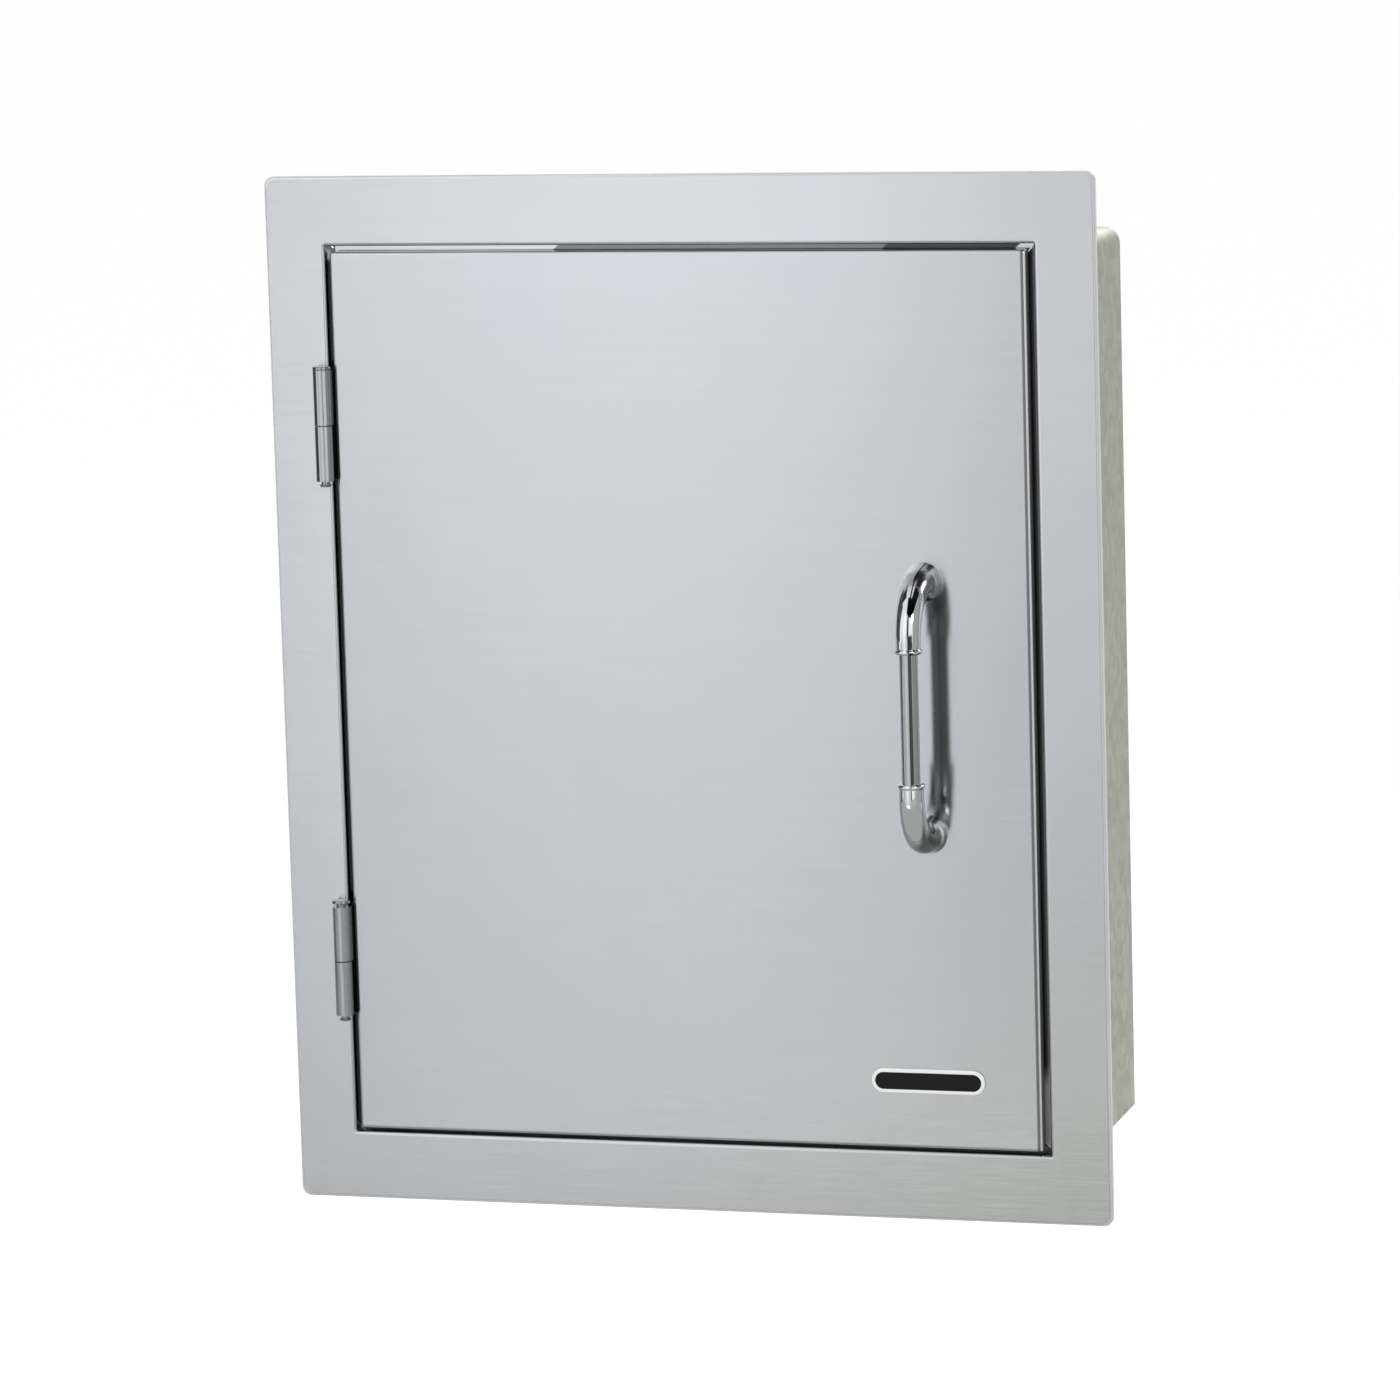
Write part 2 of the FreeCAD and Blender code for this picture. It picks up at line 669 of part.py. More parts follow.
def door_skin():
    body = new_body("door_skin")
    block = lambda s: rectangle(s, DOOR_LEFT, DOOR_BOTTOM, DOOR_RIGHT, DOOR_TOP)
    extrude(body, "XZ_Plane", FRONT, PAN_BACK, block)
    round_edges(body, size("door_corner_radius"), lambda e: along(e, "y"))
    front = number(FRONT)
    round_edges(body, size("bend_radius"), lambda e: flat_at_y(e, front))

    def inset(gap):
        left = f"({DOOR_LEFT} + {gap})"
        bottom = f"({DOOR_BOTTOM} + {gap})"
        return lambda s: rectangle(s, left, bottom, f"{DOOR_RIGHT} - {gap}", f"{DOOR_TOP} - {gap}")

    extrude(body, "XZ_Plane", SKIN_BACK, LIP_FRONT, inset(size("door_sheet")), cut=True)
    extrude(body, "XZ_Plane", LIP_FRONT, PAN_BACK, inset(size("pan_lip")), cut=True)

    def handle_holes(sketch):
        for end in HANDLE_ENDS:
            circle(sketch, HANDLE_X, end, HANDLE_HOLE)

    extrude(body, "XZ_Plane", FRONT, SKIN_BACK, handle_holes, cut=True)

    def screw_holes(sketch):
        for centre in HINGES.values():
            for step in range(LEAF_SCREWS):
                up = f"{centre} + ({step} - {LEAF_SCREWS - 1} / 2) * {SCREW_PITCH}"
                circle(sketch, DOOR_SCREW_Y, up, "sizes.screw_radius + sizes.screw_clearance")

    edge = f"({DOOR_LEFT} + sizes.door_sheet)"
    extrude(body, "YZ_Plane", DOOR_LEFT, edge, screw_holes, cut=True)
    return body


def door_liner():
    body = new_body("door_liner")
    margin = size("liner_margin")
    left = f"({DOOR_LEFT} + {margin})"
    bottom = f"({DOOR_BOTTOM} + {margin})"
    plate = lambda s: rectangle(s, left, bottom, f"{DOOR_RIGHT} - {margin}", f"{DOOR_TOP} - {margin}")
    extrude(body, "XZ_Plane", PAN_BACK, LINER_BACK, plate)
    round_edges(body, size("door_corner_radius"), lambda e: along(e, "y"))

    def holes(sketch):
        for end in HANDLE_ENDS:
            circle(sketch, HANDLE_X, end, HANDLE_HOLE)
        for end in STRIKE_RIVETS:
            circle(sketch, CATCH_MID, end, size("rivet_radius"))

    extrude(body, "XZ_Plane", PAN_BACK, LINER_BACK, holes, cut=True)
    return body


def door_stiffener(name, centre):
    """A hat channel across the door, from the skin to the liner."""
    body = new_body(name)
    gauge = size("stiffener_sheet")
    half = "(sizes.stiffener_width / 2)"
    crown = f"({half} - sizes.stiffener_flange)"
    foot_top = f"({SKIN_BACK} + {gauge})"
    crown_low = f"({PAN_BACK} - {gauge})"
    half_outline = [
        (SKIN_BACK, half),
        (foot_top, half),
        (foot_top, crown),
        (PAN_BACK, crown),
    ]
    inner = [
        (crown_low, f"({crown} - {gauge})"),
        (SKIN_BACK, f"({crown} - {gauge})"),
    ]
    points = [(y, f"{centre} - {z}") for y, z in half_outline]
    points += [(y, f"{centre} + {z}") for y, z in reversed(half_outline)]
    points += [(y, f"{centre} + {z}") for y, z in reversed(inner)]
    points += [(y, f"{centre} - {z}") for y, z in inner]
    side_gap = "(sizes.pan_lip + sizes.stiffener_end_gap)"
    left = f"({DOOR_LEFT} + {side_gap})"
    right = f"({DOOR_RIGHT} - {side_gap})"
    extrude(body, "YZ_Plane", left, right, lambda s: polygon(s, points))
    return body


# Handle: flared elbows with collars, a plain rod and its fixings


def primitive(kind, name, lengths, base, rotation=None):
    """A Part primitive with its sizes and place bound to formulas."""
    item = doc.addObject(kind, name)
    item.Placement = FreeCAD.Placement(V(0, 0, 0), rotation or FreeCAD.Rotation())
    for key, formula in lengths.items():
        item.setExpression(key, formula)
    for axis, formula in zip("xyz", base):
        item.setExpression("Placement.Base." + axis, formula)
    return item


TOWARDS_FRONT = FreeCAD.Rotation(V(1, 0, 0), 90)
TOWARDS_BACK = FreeCAD.Rotation(V(1, 0, 0), -90)


def elbow_section(name, index, travel, base, tilt):
    """One round section of the elbow, wider near the foot."""
    flare = f"exp(-({travel}) / sizes.flare_length)"
    radius = f"sizes.elbow_radius + (sizes.foot_radius - sizes.elbow_radius) * {flare}"
    rotation = FreeCAD.Rotation(V(1, 0, 0), 90 + tilt)
    return primitive("Part::Circle", f"{name}_ring_{index}", {"Radius": radius}, base, rotation)


def handle_elbow(name, half_turns, foot_z):
    """Drawn with its foot at the origin and its rod end hanging down, then turned."""
    lead = "(sizes.handle_standoff - sizes.elbow_bend)"
    drop = f"({HALF_HANDLE} - {HALF_ROD})"
    arc = f"(sizes.elbow_bend * pi / 2)"
    sections = []
    for share in (0, 0.5):
        travel = f"({share} * {lead})"
        sections.append(elbow_section(name, len(sections), travel, ("0", f"-{travel}", "0"), 0))
    for step in range(ARC_SECTIONS + 1):
        tilt = 90 * step / ARC_SECTIONS
        sine = round(math.sin(math.radians(tilt)), 9)
        cosine = round(math.cos(math.radians(tilt)), 9)
        travel = f"({lead} + {arc} * {step} / {ARC_SECTIONS})"
        base = ("0", f"-({lead} + sizes.elbow_bend * {sine})", f"-sizes.elbow_bend * (1 - {cosine})")
        sections.append(elbow_section(name, len(sections), travel, base, tilt))
    tail = f"({lead} + {arc} + {drop} - sizes.elbow_bend)"
    end = ("0", "-sizes.handle_standoff", f"-{drop}")
    sections.append(elbow_section(name, len(sections), tail, end, 90))
    shell = doc.addObject("Part::Loft", name + "_shell")
    shell.Sections = sections
    shell.Solid = True
    shell.Ruled = False
    collar_low = ("0", "-sizes.handle_standoff", f"-{drop}")
    bead = "(sizes.collar_length / 2)"
    ring_radius = f"sizes.elbow_radius + sizes.collar_rise - {bead}"
    ring_size = {"Radius1": ring_radius, "Radius2": bead}
    ring_base = ("0", "-sizes.handle_standoff", f"-{drop} + {bead}")
    ring = primitive("Part::Torus", name + "_rim", ring_size, ring_base)
    solid = doc.addObject("Part::MultiFuse", name + "_cast")
    solid.Shapes = [shell, ring]
    socket_size = {"Radius": "sizes.rod_radius + sizes.rod_clearance", "Height": size("rod_socket")}
    socket = primitive("Part::Cylinder", name + "_socket", socket_size, collar_low)
    tapped_size = {"Radius": HANDLE_HOLE, "Height": size("handle_screw_bite")}
    tapped = primitive("Part::Cylinder", name + "_tapped", tapped_size, ("0", "0", "0"), TOWARDS_FRONT)
    hollow = doc.addObject("Part::MultiFuse", name + "_hollows")
    hollow.Shapes = [socket, tapped]
    elbow = doc.addObject("Part::Cut", name)
    elbow.Base = solid
    elbow.Tool = hollow
    elbow.Label = name
    turned = FreeCAD.Rotation(V(0, 1, 0), 180 * half_turns)
    elbow.Placement = FreeCAD.Placement(V(0, 0, 0), turned)
    for axis, formula in zip("xyz", (HANDLE_X, FRONT, foot_z)):
        elbow.setExpression("Placement.Base." + axis, formula)
    pieces.append(elbow)
    return elbow


def handle_rod():
    seat = "(sizes.rod_socket - sizes.rod_clearance)"
    sizes_of_rod = {
        "Radius": size("rod_radius"),
        "Height": f"sizes.rod_visible + 2 * {seat}",
    }
    base = (
        HANDLE_X,
        f"{FRONT} - sizes.handle_standoff",
        f"{HANDLE_Z} - {HALF_ROD} - {seat}",
    )
    rod = primitive("Part::Cylinder", "handle_rod", sizes_of_rod, base)
    rod.Label = "handle_rod"
    pieces.append(rod)
    return rod


def rings(name, start, end, outer, inner):
    """A tube round each handle screw."""
    body = new_body(name)

    def outline(sketch):
        for place in HANDLE_ENDS:
            circle(sketch, HANDLE_X, place, outer)
            circle(sketch, HANDLE_X, place, inner)

    extrude(body, "XZ_Plane", start, end, outline)
    return body


def handle_backing_plate():
    body = new_body("handle_backing_plate")
    half = f"({HALF_HANDLE} + sizes.backing_overhang)"
    left = f"({HANDLE_X} - sizes.backing_width / 2)"
    right = f"({HANDLE_X} + sizes.backing_width / 2)"
    low = f"({HANDLE_Z} - {half})"
    high = f"({HANDLE_Z} + {half})"
    back = f"({SKIN_BACK} + sizes.backing_sheet)"
    extrude(body, "XZ_Plane", SKIN_BACK, back, lambda s: rectangle(s, left, low, right, high))

    def holes(sketch):
        for end in HANDLE_ENDS:
            circle(sketch, HANDLE_X, end, HANDLE_HOLE)

    extrude(body, "XZ_Plane", SKIN_BACK, back, holes, cut=True)
    return body


def handle_screws():
    """Pan-head screws from behind the liner into the elbows."""
    body = new_body("handle_screws")
    seat = f"({LINER_BACK} + sizes.washer_sheet)"
    top = f"({seat} + sizes.handle_head_height)"
    tip = f"({FRONT} - sizes.handle_screw_bite + sizes.screw_point)"
    crown = "(sizes.handle_head_radius - sizes.pin_dome)"
    points = [
        ("0", tip),
        (size("handle_screw_radius"), tip),
        (size("handle_screw_radius"), seat),
        (size("handle_head_radius"), seat),
        (size("handle_head_radius"), f"{top} - sizes.pin_dome"),
        (crown, top),
        ("0", top),
    ]
    for end in HANDLE_ENDS:
        turn(body, (HANDLE_X, "0", end), lambda s: polygon(s, points), axis="V_Axis")
    return body


# Badge: adhesive pad, plate with a raised rim, and an enamel inlay

BADGE_X = f"({DOOR_RIGHT} - sizes.badge_inset_side)"
BADGE_Z = f"({DOOR_BOTTOM} + sizes.badge_inset_bottom)"
TAPE_FRONT = f"({FRONT} - sizes.badge_tape)"
BADGE_FRONT = f"({TAPE_FRONT} - sizes.badge_sheet)"
RECESS_FLOOR = f"({BADGE_FRONT} + sizes.badge_recess)"


def badge_outline(margin):
    length = f"sizes.badge_length - 2 * {margin}"
    height = f"sizes.badge_height - 2 * {margin}"
    return lambda s: stadium(s, BADGE_X, BADGE_Z, length, height)


def badge():
    tape = new_body("badge_tape")
    extrude(tape, "XZ_Plane", TAPE_FRONT, FRONT, badge_outline(size("badge_tape_margin")))
    plate = new_body("badge_plate")
    extrude(plate, "XZ_Plane", BADGE_FRONT, TAPE_FRONT, badge_outline("0"))
    front = number(BADGE_FRONT)
    round_edges(plate, "sizes.badge_rim / 3", lambda e: flat_at_y(e, front))
    rim = size("badge_rim")
    extrude(plate, "XZ_Plane", BADGE_FRONT, RECESS_FLOOR, badge_outline(rim), cut=True)
    inlay = new_body("badge_inlay")
    inlay_front = f"({RECESS_FLOOR} - sizes.badge_inlay)"
    extrude(inlay, "XZ_Plane", inlay_front, RECESS_FLOOR, badge_outline(rim))


# Magnetic catch on the latch side, with its strike plate on the door


def catch_bracket():
    body = new_body("catch_bracket")
    gauge = size("catch_sheet")
    foot_x = f"({CATCH_RIGHT} + {gauge} + sizes.catch_bracket_foot)"
    foot_y = f"({LEDGE_BACK} + {gauge})"
    arm_x = f"({CATCH_RIGHT} + {gauge})"
    points = [
        (CATCH_RIGHT, LEDGE_BACK),
        (foot_x, LEDGE_BACK),
        (foot_x, foot_y),
        (arm_x, foot_y),
        (arm_x, CATCH_BACK),
        (CATCH_RIGHT, CATCH_BACK),
    ]
    half = "(sizes.catch_bracket_length / 2)"
    extrude(body, "XY_Plane", f"-{half}", half, lambda s: polygon(s, points))
    extrude(body, "YZ_Plane", CATCH_RIGHT, arm_x, catch_screw_holes, cut=True)
    return body


CATCH_SCREW_Y = f"(({CATCH_FRONT} + {CATCH_BACK}) / 2)"


def catch_screw_holes(sketch):
    for end in CATCH_SCREWS:
        circle(sketch, CATCH_SCREW_Y, end, "sizes.catch_screw_radius + sizes.screw_clearance")


def catch_housing():
    body = new_body("catch_housing")
    half = "(sizes.catch_length / 2)"
    block = lambda s: rectangle(s, CATCH_LEFT, f"-{half}", CATCH_RIGHT, half)
    extrude(body, "XZ_Plane", CATCH_FRONT, CATCH_BACK, block)
    gap = size("magnet_clearance")
    cavity_x = f"({HALF_MAGNET} + sizes.pole_sheet + {gap})"
    cavity_z = f"({HALF_MAGNET_LENGTH} + {gap})"
    left = f"({CATCH_MID} - {cavity_x})"
    right = f"({CATCH_MID} + {cavity_x})"
    cavity = lambda s: rectangle(s, left, f"-{cavity_z}", right, cavity_z)
    extrude(body, "XZ_Plane", CATCH_FRONT, MAGNET_BACK, cavity, cut=True)
    extrude(body, "YZ_Plane", CATCH_LEFT, CATCH_RIGHT, catch_screw_holes, cut=True)
    return body


def catch_magnet():
    body = new_body("catch_magnet")
    left = f"({CATCH_MID} - {HALF_MAGNET})"
    right = f"({CATCH_MID} + {HALF_MAGNET})"
    block = lambda s: rectangle(s, left, f"-{HALF_MAGNET_LENGTH}", right, HALF_MAGNET_LENGTH)
    extrude(body, "XZ_Plane", CATCH_FRONT, MAGNET_BACK, block)
    return body


def catch_pole_plates():
    body = new_body("catch_pole_plates")
    near = HALF_MAGNET
    far = f"({HALF_MAGNET} + sizes.pole_sheet)"
    for left, right in ((f"-{far}", f"-{near}"), (near, far)):
        outline = lambda s, a=left, b=right: rectangle(
            s, f"{CATCH_MID} + {a}", f"-{HALF_MAGNET_LENGTH}", f"{CATCH_MID} + {b}", HALF_MAGNET_LENGTH
        )
        extrude(body, "XZ_Plane", POLE_FRONT, MAGNET_BACK, outline)
    return body


def catch_screws():
    """Pan-head screws through the housing into the bracket."""
    body = new_body("catch_screws")
    tip = f"({CATCH_RIGHT} + sizes.catch_sheet + sizes.screw_point)"
    head_face = f"({CATCH_LEFT} - sizes.catch_screw_head_height)"
    points = [
        (head_face, "0"),
        (head_face, f"sizes.catch_screw_head_radius - sizes.pin_dome"),
        (f"{head_face} + sizes.pin_dome", size("catch_screw_head_radius")),
        (CATCH_LEFT, size("catch_screw_head_radius")),
        (CATCH_LEFT, size("catch_screw_radius")),
        (tip, size("catch_screw_radius")),
        (tip, "0"),
    ]
    for end in CATCH_SCREWS:
        turn(body, ("0", CATCH_SCREW_Y, end), lambda s: polygon(s, points))
    return body


def strike_plate():
    body = new_body("strike_plate")
    left = f"({CATCH_MID} - sizes.strike_width / 2)"
    right = f"({CATCH_MID} + sizes.strike_width / 2)"
    half = "(sizes.strike_length / 2)"
    plate = lambda s: rectangle(s, left, f"-{half}", right, half)
    extrude(body, "XZ_Plane", LINER_BACK, STRIKE_BACK, plate)
    round_edges(body, size("door_corner_radius"), lambda e: along(e, "y"))

    def holes(sketch):
        for end in STRIKE_RIVETS:
            circle(sketch, CATCH_MID, end, size("rivet_radius"))

    extrude(body, "XZ_Plane", LINER_BACK, STRIKE_BACK, holes, cut=True)
    return body


def strike_rivets():
    """Low-head rivets through the strike plate and the liner."""
    body = new_body("strike_rivets")
    head = f"({STRIKE_BACK} + sizes.rivet_head_height)"
    shank = "(sizes.rivet_radius - sizes.screw_clearance)"
    points = [
        ("0", PAN_BACK),
        (shank, PAN_BACK),
        (shank, STRIKE_BACK),
        (size("rivet_head_radius"), STRIKE_BACK),
        (f"sizes.rivet_head_radius - sizes.pin_dome", head),
        ("0", head),
    ]
    for end in STRIKE_RIVETS:
        turn(body, (CATCH_MID, "0", end), lambda s: polygon(s, points), axis="V_Axis")
    return body


def rubber_buffers():
    body = new_body("rubber_buffers")

    across = f"({LEDGE_X} + sizes.buffer_inset)"
    up = f"({OPEN_Z} - sizes.buffer_from_corner)"

    def discs(sketch):
        for side in ("", "-"):
            for level in ("", "-"):
                circle(sketch, side + across, level + up, size("buffer_radius"))

    extrude(body, "XZ_Plane", f"{LINER_BACK} + sizes.buffer_gap", LEDGE_FRONT, discs)
    return body


def build():
    face_frame()
    stop_rail("stop_rail_top", OPEN_X, OPEN_Z, 0)
    stop_rail("stop_rail_latch_side", OPEN_Z, OPEN_X, 1)
    stop_rail("stop_rail_bottom", OPEN_X, OPEN_Z, 2)
    stop_rail("stop_rail_hinge_side", OPEN_Z, OPEN_X, 3)
    sleeve_wrap()
    sleeve_floor()
    frame_end = f"({LEDGE_FRONT} - sizes.frame_leaf_end_gap)"
    door_end = f"({PAN_BACK} - sizes.door_leaf_end_gap)"
    frame_screw = size("frame_screw_length")
    door_screw = size("door_screw_length")
    lifts = {"upper": size("upper_pin_lift"), "lower": size("lower_pin_lift")}
    for side, centre in HINGES.items():
        hinge_leaf(
            f"hinge_frame_leaf_{side}", centre, False, f"-{OPEN_X}", FRAME_LEAF_X,
            frame_end, FRAME_SCREW_Y, mirrored_screw_profile, frame_screw,
        )
        hinge_leaf(
            f"hinge_door_leaf_{side}", centre, True, DOOR_LEAF_X, DOOR_LEFT,
            door_end, DOOR_SCREW_Y, screw_profile, door_screw,
        )
        hinge_pin(f"hinge_pin_{side}", centre, lifts[side])
    hinge_screws(
        "hinge_frame_screws", FRAME_LEAF_X, FRAME_SCREW_Y, mirrored_screw_profile, frame_screw
    )
    hinge_screws("hinge_door_screws", DOOR_LEAF_X, DOOR_SCREW_Y, screw_profile, door_screw)
    door_skin()
    door_liner()
    door_stiffener("door_stiffener_upper", size("stiffener_offset"))
    door_stiffener("door_stiffener_lower", "-sizes.stiffener_offset")
    handle_elbow("handle_elbow_upper", 0, HANDLE_ENDS[0])
    handle_elbow("handle_elbow_lower", 1, HANDLE_ENDS[1])
    handle_rod()
    handle_backing_plate()
    spacer_front = f"({SKIN_BACK} + sizes.backing_sheet)"
    rings("handle_spacers", spacer_front, PAN_BACK, size("spacer_radius"), HANDLE_HOLE)
    washer_back = f"({LINER_BACK} + sizes.washer_sheet)"
    rings("handle_washers", LINER_BACK, washer_back, size("washer_radius"), HANDLE_HOLE)
    handle_screws()
    badge()
    catch_bracket()
    catch_housing()
    catch_magnet()
    catch_pole_plates()
    catch_screws()
    strike_plate()
    strike_rivets()
    rubber_buffers()
    doc.recompute()


def check():
    """Stop on any failed object, any cut that removed nothing, and any bad shape."""
    for item in doc.Objects:
        if "Invalid" in item.State or "Error" in item.State:
            raise RuntimeError(f"{item.Name} failed: {item.State}")
    for feature in cuts:
        base = feature.BaseFeature
        if base is not None and base.Shape.Volume - feature.Shape.Volume < SMALLEST_CUT:
            raise RuntimeError(f"{feature.Name} cuts nothing")
    for piece in pieces:
        shape = piece.Shape
        if shape.isNull() or not shape.isValid() or not shape.Solids:
            raise RuntimeError(f"{piece.Label} has no valid shape")


def export():
    os.makedirs("parts", exist_ok=True)
    for piece in pieces:
        shape = piece.Shape
        box = shape.BoundBox
        shape.exportStep(f"parts/{piece.Label}.step")
        spans = f"{box.XMin:.2f} {box.YMin:.2f} {box.ZMin:.2f} {box.XMax:.2f} {box.YMax:.2f} {box.ZMax:.2f}"
        print(piece.Label, len(shape.Solids), round(shape.Volume, 1), spans)


build()
check()
export()
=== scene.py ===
import math

import bmesh
import bpy
from bpy.props import FloatProperty, FloatVectorProperty, IntProperty, PointerProperty
from bpy.types import Operator, Panel, PropertyGroup
from mathutils import Matrix, Vector


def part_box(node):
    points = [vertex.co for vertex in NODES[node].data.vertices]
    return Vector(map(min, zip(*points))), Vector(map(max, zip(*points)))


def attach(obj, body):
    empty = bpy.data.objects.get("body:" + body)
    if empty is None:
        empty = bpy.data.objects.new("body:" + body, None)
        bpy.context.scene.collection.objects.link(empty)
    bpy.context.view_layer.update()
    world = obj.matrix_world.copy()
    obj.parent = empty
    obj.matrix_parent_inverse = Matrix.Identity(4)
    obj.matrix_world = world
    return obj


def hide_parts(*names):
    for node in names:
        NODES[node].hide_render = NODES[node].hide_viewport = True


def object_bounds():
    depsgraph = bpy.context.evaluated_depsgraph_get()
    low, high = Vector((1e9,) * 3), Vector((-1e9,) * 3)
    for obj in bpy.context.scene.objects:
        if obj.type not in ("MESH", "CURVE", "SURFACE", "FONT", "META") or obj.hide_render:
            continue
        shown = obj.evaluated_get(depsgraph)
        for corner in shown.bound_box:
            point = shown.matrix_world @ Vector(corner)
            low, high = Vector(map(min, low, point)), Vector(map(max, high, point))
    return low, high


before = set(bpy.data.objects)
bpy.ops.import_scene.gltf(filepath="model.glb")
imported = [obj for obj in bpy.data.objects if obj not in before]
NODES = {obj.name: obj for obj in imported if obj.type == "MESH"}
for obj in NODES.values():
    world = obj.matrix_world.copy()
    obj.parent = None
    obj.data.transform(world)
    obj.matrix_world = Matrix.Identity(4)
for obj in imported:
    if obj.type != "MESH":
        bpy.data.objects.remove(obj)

bl_info = {
    "name": "Island access door finishes",
    "version": (1, 0, 0),
    "blender": (4, 5, 0),
    "location": "3D View > Sidebar > Access Door",
    "description": "Finishes, cast handle, pins, screws and studio for a stainless access door",
    "category": "Object",
}

CAD_BOX = [list(corner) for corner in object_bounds()]
PHOTO_PIXELS = 1400
SENSOR_MM = 36.0
WHITE = (1.0, 1.0, 1.0)
FLOOR_COLOUR = (0.8, 0.8, 0.8)
FLOOR_SIZE = 60


def colour_property(name, description, default):
    return FloatVectorProperty(
        name=name, description=description, subtype="COLOR", size=3, min=0, max=1, default=default
    )


def length_property(name, description, default):
    return FloatProperty(
        name=name, description=description, subtype="DISTANCE", unit="LENGTH", precision=5,
        default=default,
    )


def share_property(name, description, default):
    return FloatProperty(
        name=name, description=description, subtype="FACTOR", min=0, max=1, default=default
    )


def angle_property(name, description, degrees):
    return FloatProperty(
        name=name, description=description, subtype="ANGLE", default=math.radians(degrees)
    )


# Sizes and colours that a user would change


class SteelSettings(PropertyGroup):
    frame_colour: colour_property("Frame colour", "Stainless of the face frame", (0.60, 0.61, 0.625))
    door_colour: colour_property("Door colour", "Stainless of the door's skin", (0.60, 0.61, 0.63))
    rail_colour: colour_property("Rail colour", "Satin stainless of the stop rails", (0.60, 0.61, 0.62))
    liner_colour: colour_property("Liner colour", "Stainless of the door's back", (0.52, 0.53, 0.54))
    grain_spacing: length_property("Grain spacing", "Distance between brush lines", 0.0006)
    grain_length: length_property("Grain length", "Length of a brush line", 0.045)
    roughness: share_property("Roughness", "Roughness of the brushed faces", 0.15)
    anisotropy: share_property("Anisotropy", "How far the brushing stretches reflections", 0.95)


class SleeveSettings(PropertyGroup):
    zinc_colour: colour_property("Zinc colour", "Dull galvanised sheet", (0.432, 0.443, 0.37))
    zinc_dark: colour_property("Zinc shade", "Darker crystals of the zinc", (0.335, 0.345, 0.287))
    scuff_colour: colour_property("Scuff colour", "Dark rubbed marks", (0.05, 0.05, 0.045))
    spangle_size: length_property("Spangle size", "Width of one zinc crystal", 0.006)


class HandleSettings(PropertyGroup):
    chrome_colour: colour_property("Chrome colour", "Bright plating", (0.83, 0.84, 0.85))
    rod_colour: colour_property("Rod colour", "Satin plating of the rod", (0.56, 0.56, 0.565))
    # Painted shade on the handle's sides towards the door: how dark it is on the elbows and on the rod
    back_shading: share_property("Back shading", "How dark the side towards the door is", 0.65)
    rod_shading: share_property("Rod shading", "How dark the rod's side towards the door is", 0.66)
    elbow_radius: length_property("Elbow radius", "Tube radius near the collar", 0.0060)
    foot_radius: length_property("Foot radius", "Radius against the door", 0.0100)
    flare_length: length_property("Flare length", "How far the foot's flare reaches", 0.0160)
    bend_radius: length_property("Bend radius", "Centre line radius of the elbow", 0.0246)
    standoff: length_property("Stand-off", "Door face to the bar's centre line", 0.0321)
    collar_length: length_property("Collar length", "Length of the collar's bead", 0.0029)
    collar_rise: length_property("Collar rise", "Height of the bead over the elbow", 0.00089)
    rod_radius: length_property("Rod radius", "Radius of the centre rod", 0.0046)
    segments: IntProperty(name="Segments", description="Sides of every round", default=72, min=24)


class HingeSettings(PropertyGroup):
    leaf_colour: colour_property("Leaf colour", "Satin stainless of leaves and barrels", (0.52, 0.53, 0.54))
    pin_colour: colour_property("Pin colour", "Turned steel of the pins", (0.36, 0.37, 0.38))
    screw_colour: colour_property("Screw colour", "Bright screws", (0.60, 0.60, 0.61))
    recess_shade_colour: colour_property("Recess colour", "Shadowed cross recess", (0.08, 0.08, 0.08))


class BadgeSettings(PropertyGroup):
    rim_and_reflection_colour: colour_property("Rim colour", "Bright rim", (0.95, 0.955, 0.96))
    field_colour: colour_property("Field colour", "Black enamel", (0.012, 0.012, 0.013))
    foam_colour: colour_property("Foam colour", "Adhesive pad", (0.12, 0.12, 0.12))


class InsideSettings(PropertyGroup):
    plated_colour: colour_property("Plated colour", "Zinc plated brackets", (0.52, 0.53, 0.52))
    plastic_colour: colour_property("Plastic colour", "Catch housing", (0.74, 0.74, 0.70))
    magnet_colour: colour_property("Magnet colour", "Ground ferrite", (0.035, 0.035, 0.038))
    rubber_colour: colour_property("Rubber colour", "Buffers", (0.02, 0.02, 0.02))


class StageSettings(PropertyGroup):
    view_turn: angle_property("View turn", "Camera's turn round the door", 16.0991)
    view_tilt: angle_property("View tilt", "How far the camera looks down", 8.9206)
    view_roll: angle_property("View roll", "Camera's roll", -1.6070)
    view_distance: length_property("View distance", "Camera to the flange's centre", 3.19266)
    view_aside: length_property("View aside", "Flange's centre, right of the axis", -0.0072739)
    view_above: length_property("View above", "Flange's centre, above the axis", 0.00042845)
    focal_pixels: FloatProperty(
        name="Focal length in pixels", description="In the 1400 pixel frame", default=6312.556
    )
    floor_drop: length_property("Floor drop", "Floor below the flange", 0.30)
    floor_glow: share_property("Floor glow", "Share of white that the floor adds by itself", 0.50)
    white: share_property("White", "Brightness of the background", 1.0)
    room_light: share_property("Room light", "World's light on the object", 0.62)


# Studio lamps: name, place, size and power

LAMPS = [
    ("key_left", (-1.1, -1.6, 1.0), 0.6, 12.0),
    ("fill_right", (1.75, -1.35, 1.05), 0.55, 9.0),
    ("back_top", (0.3, 1.6, 1.2), 1.0, 12.0),
]

# Upright cards: name, turns from the front in degrees, heights, distance, tone

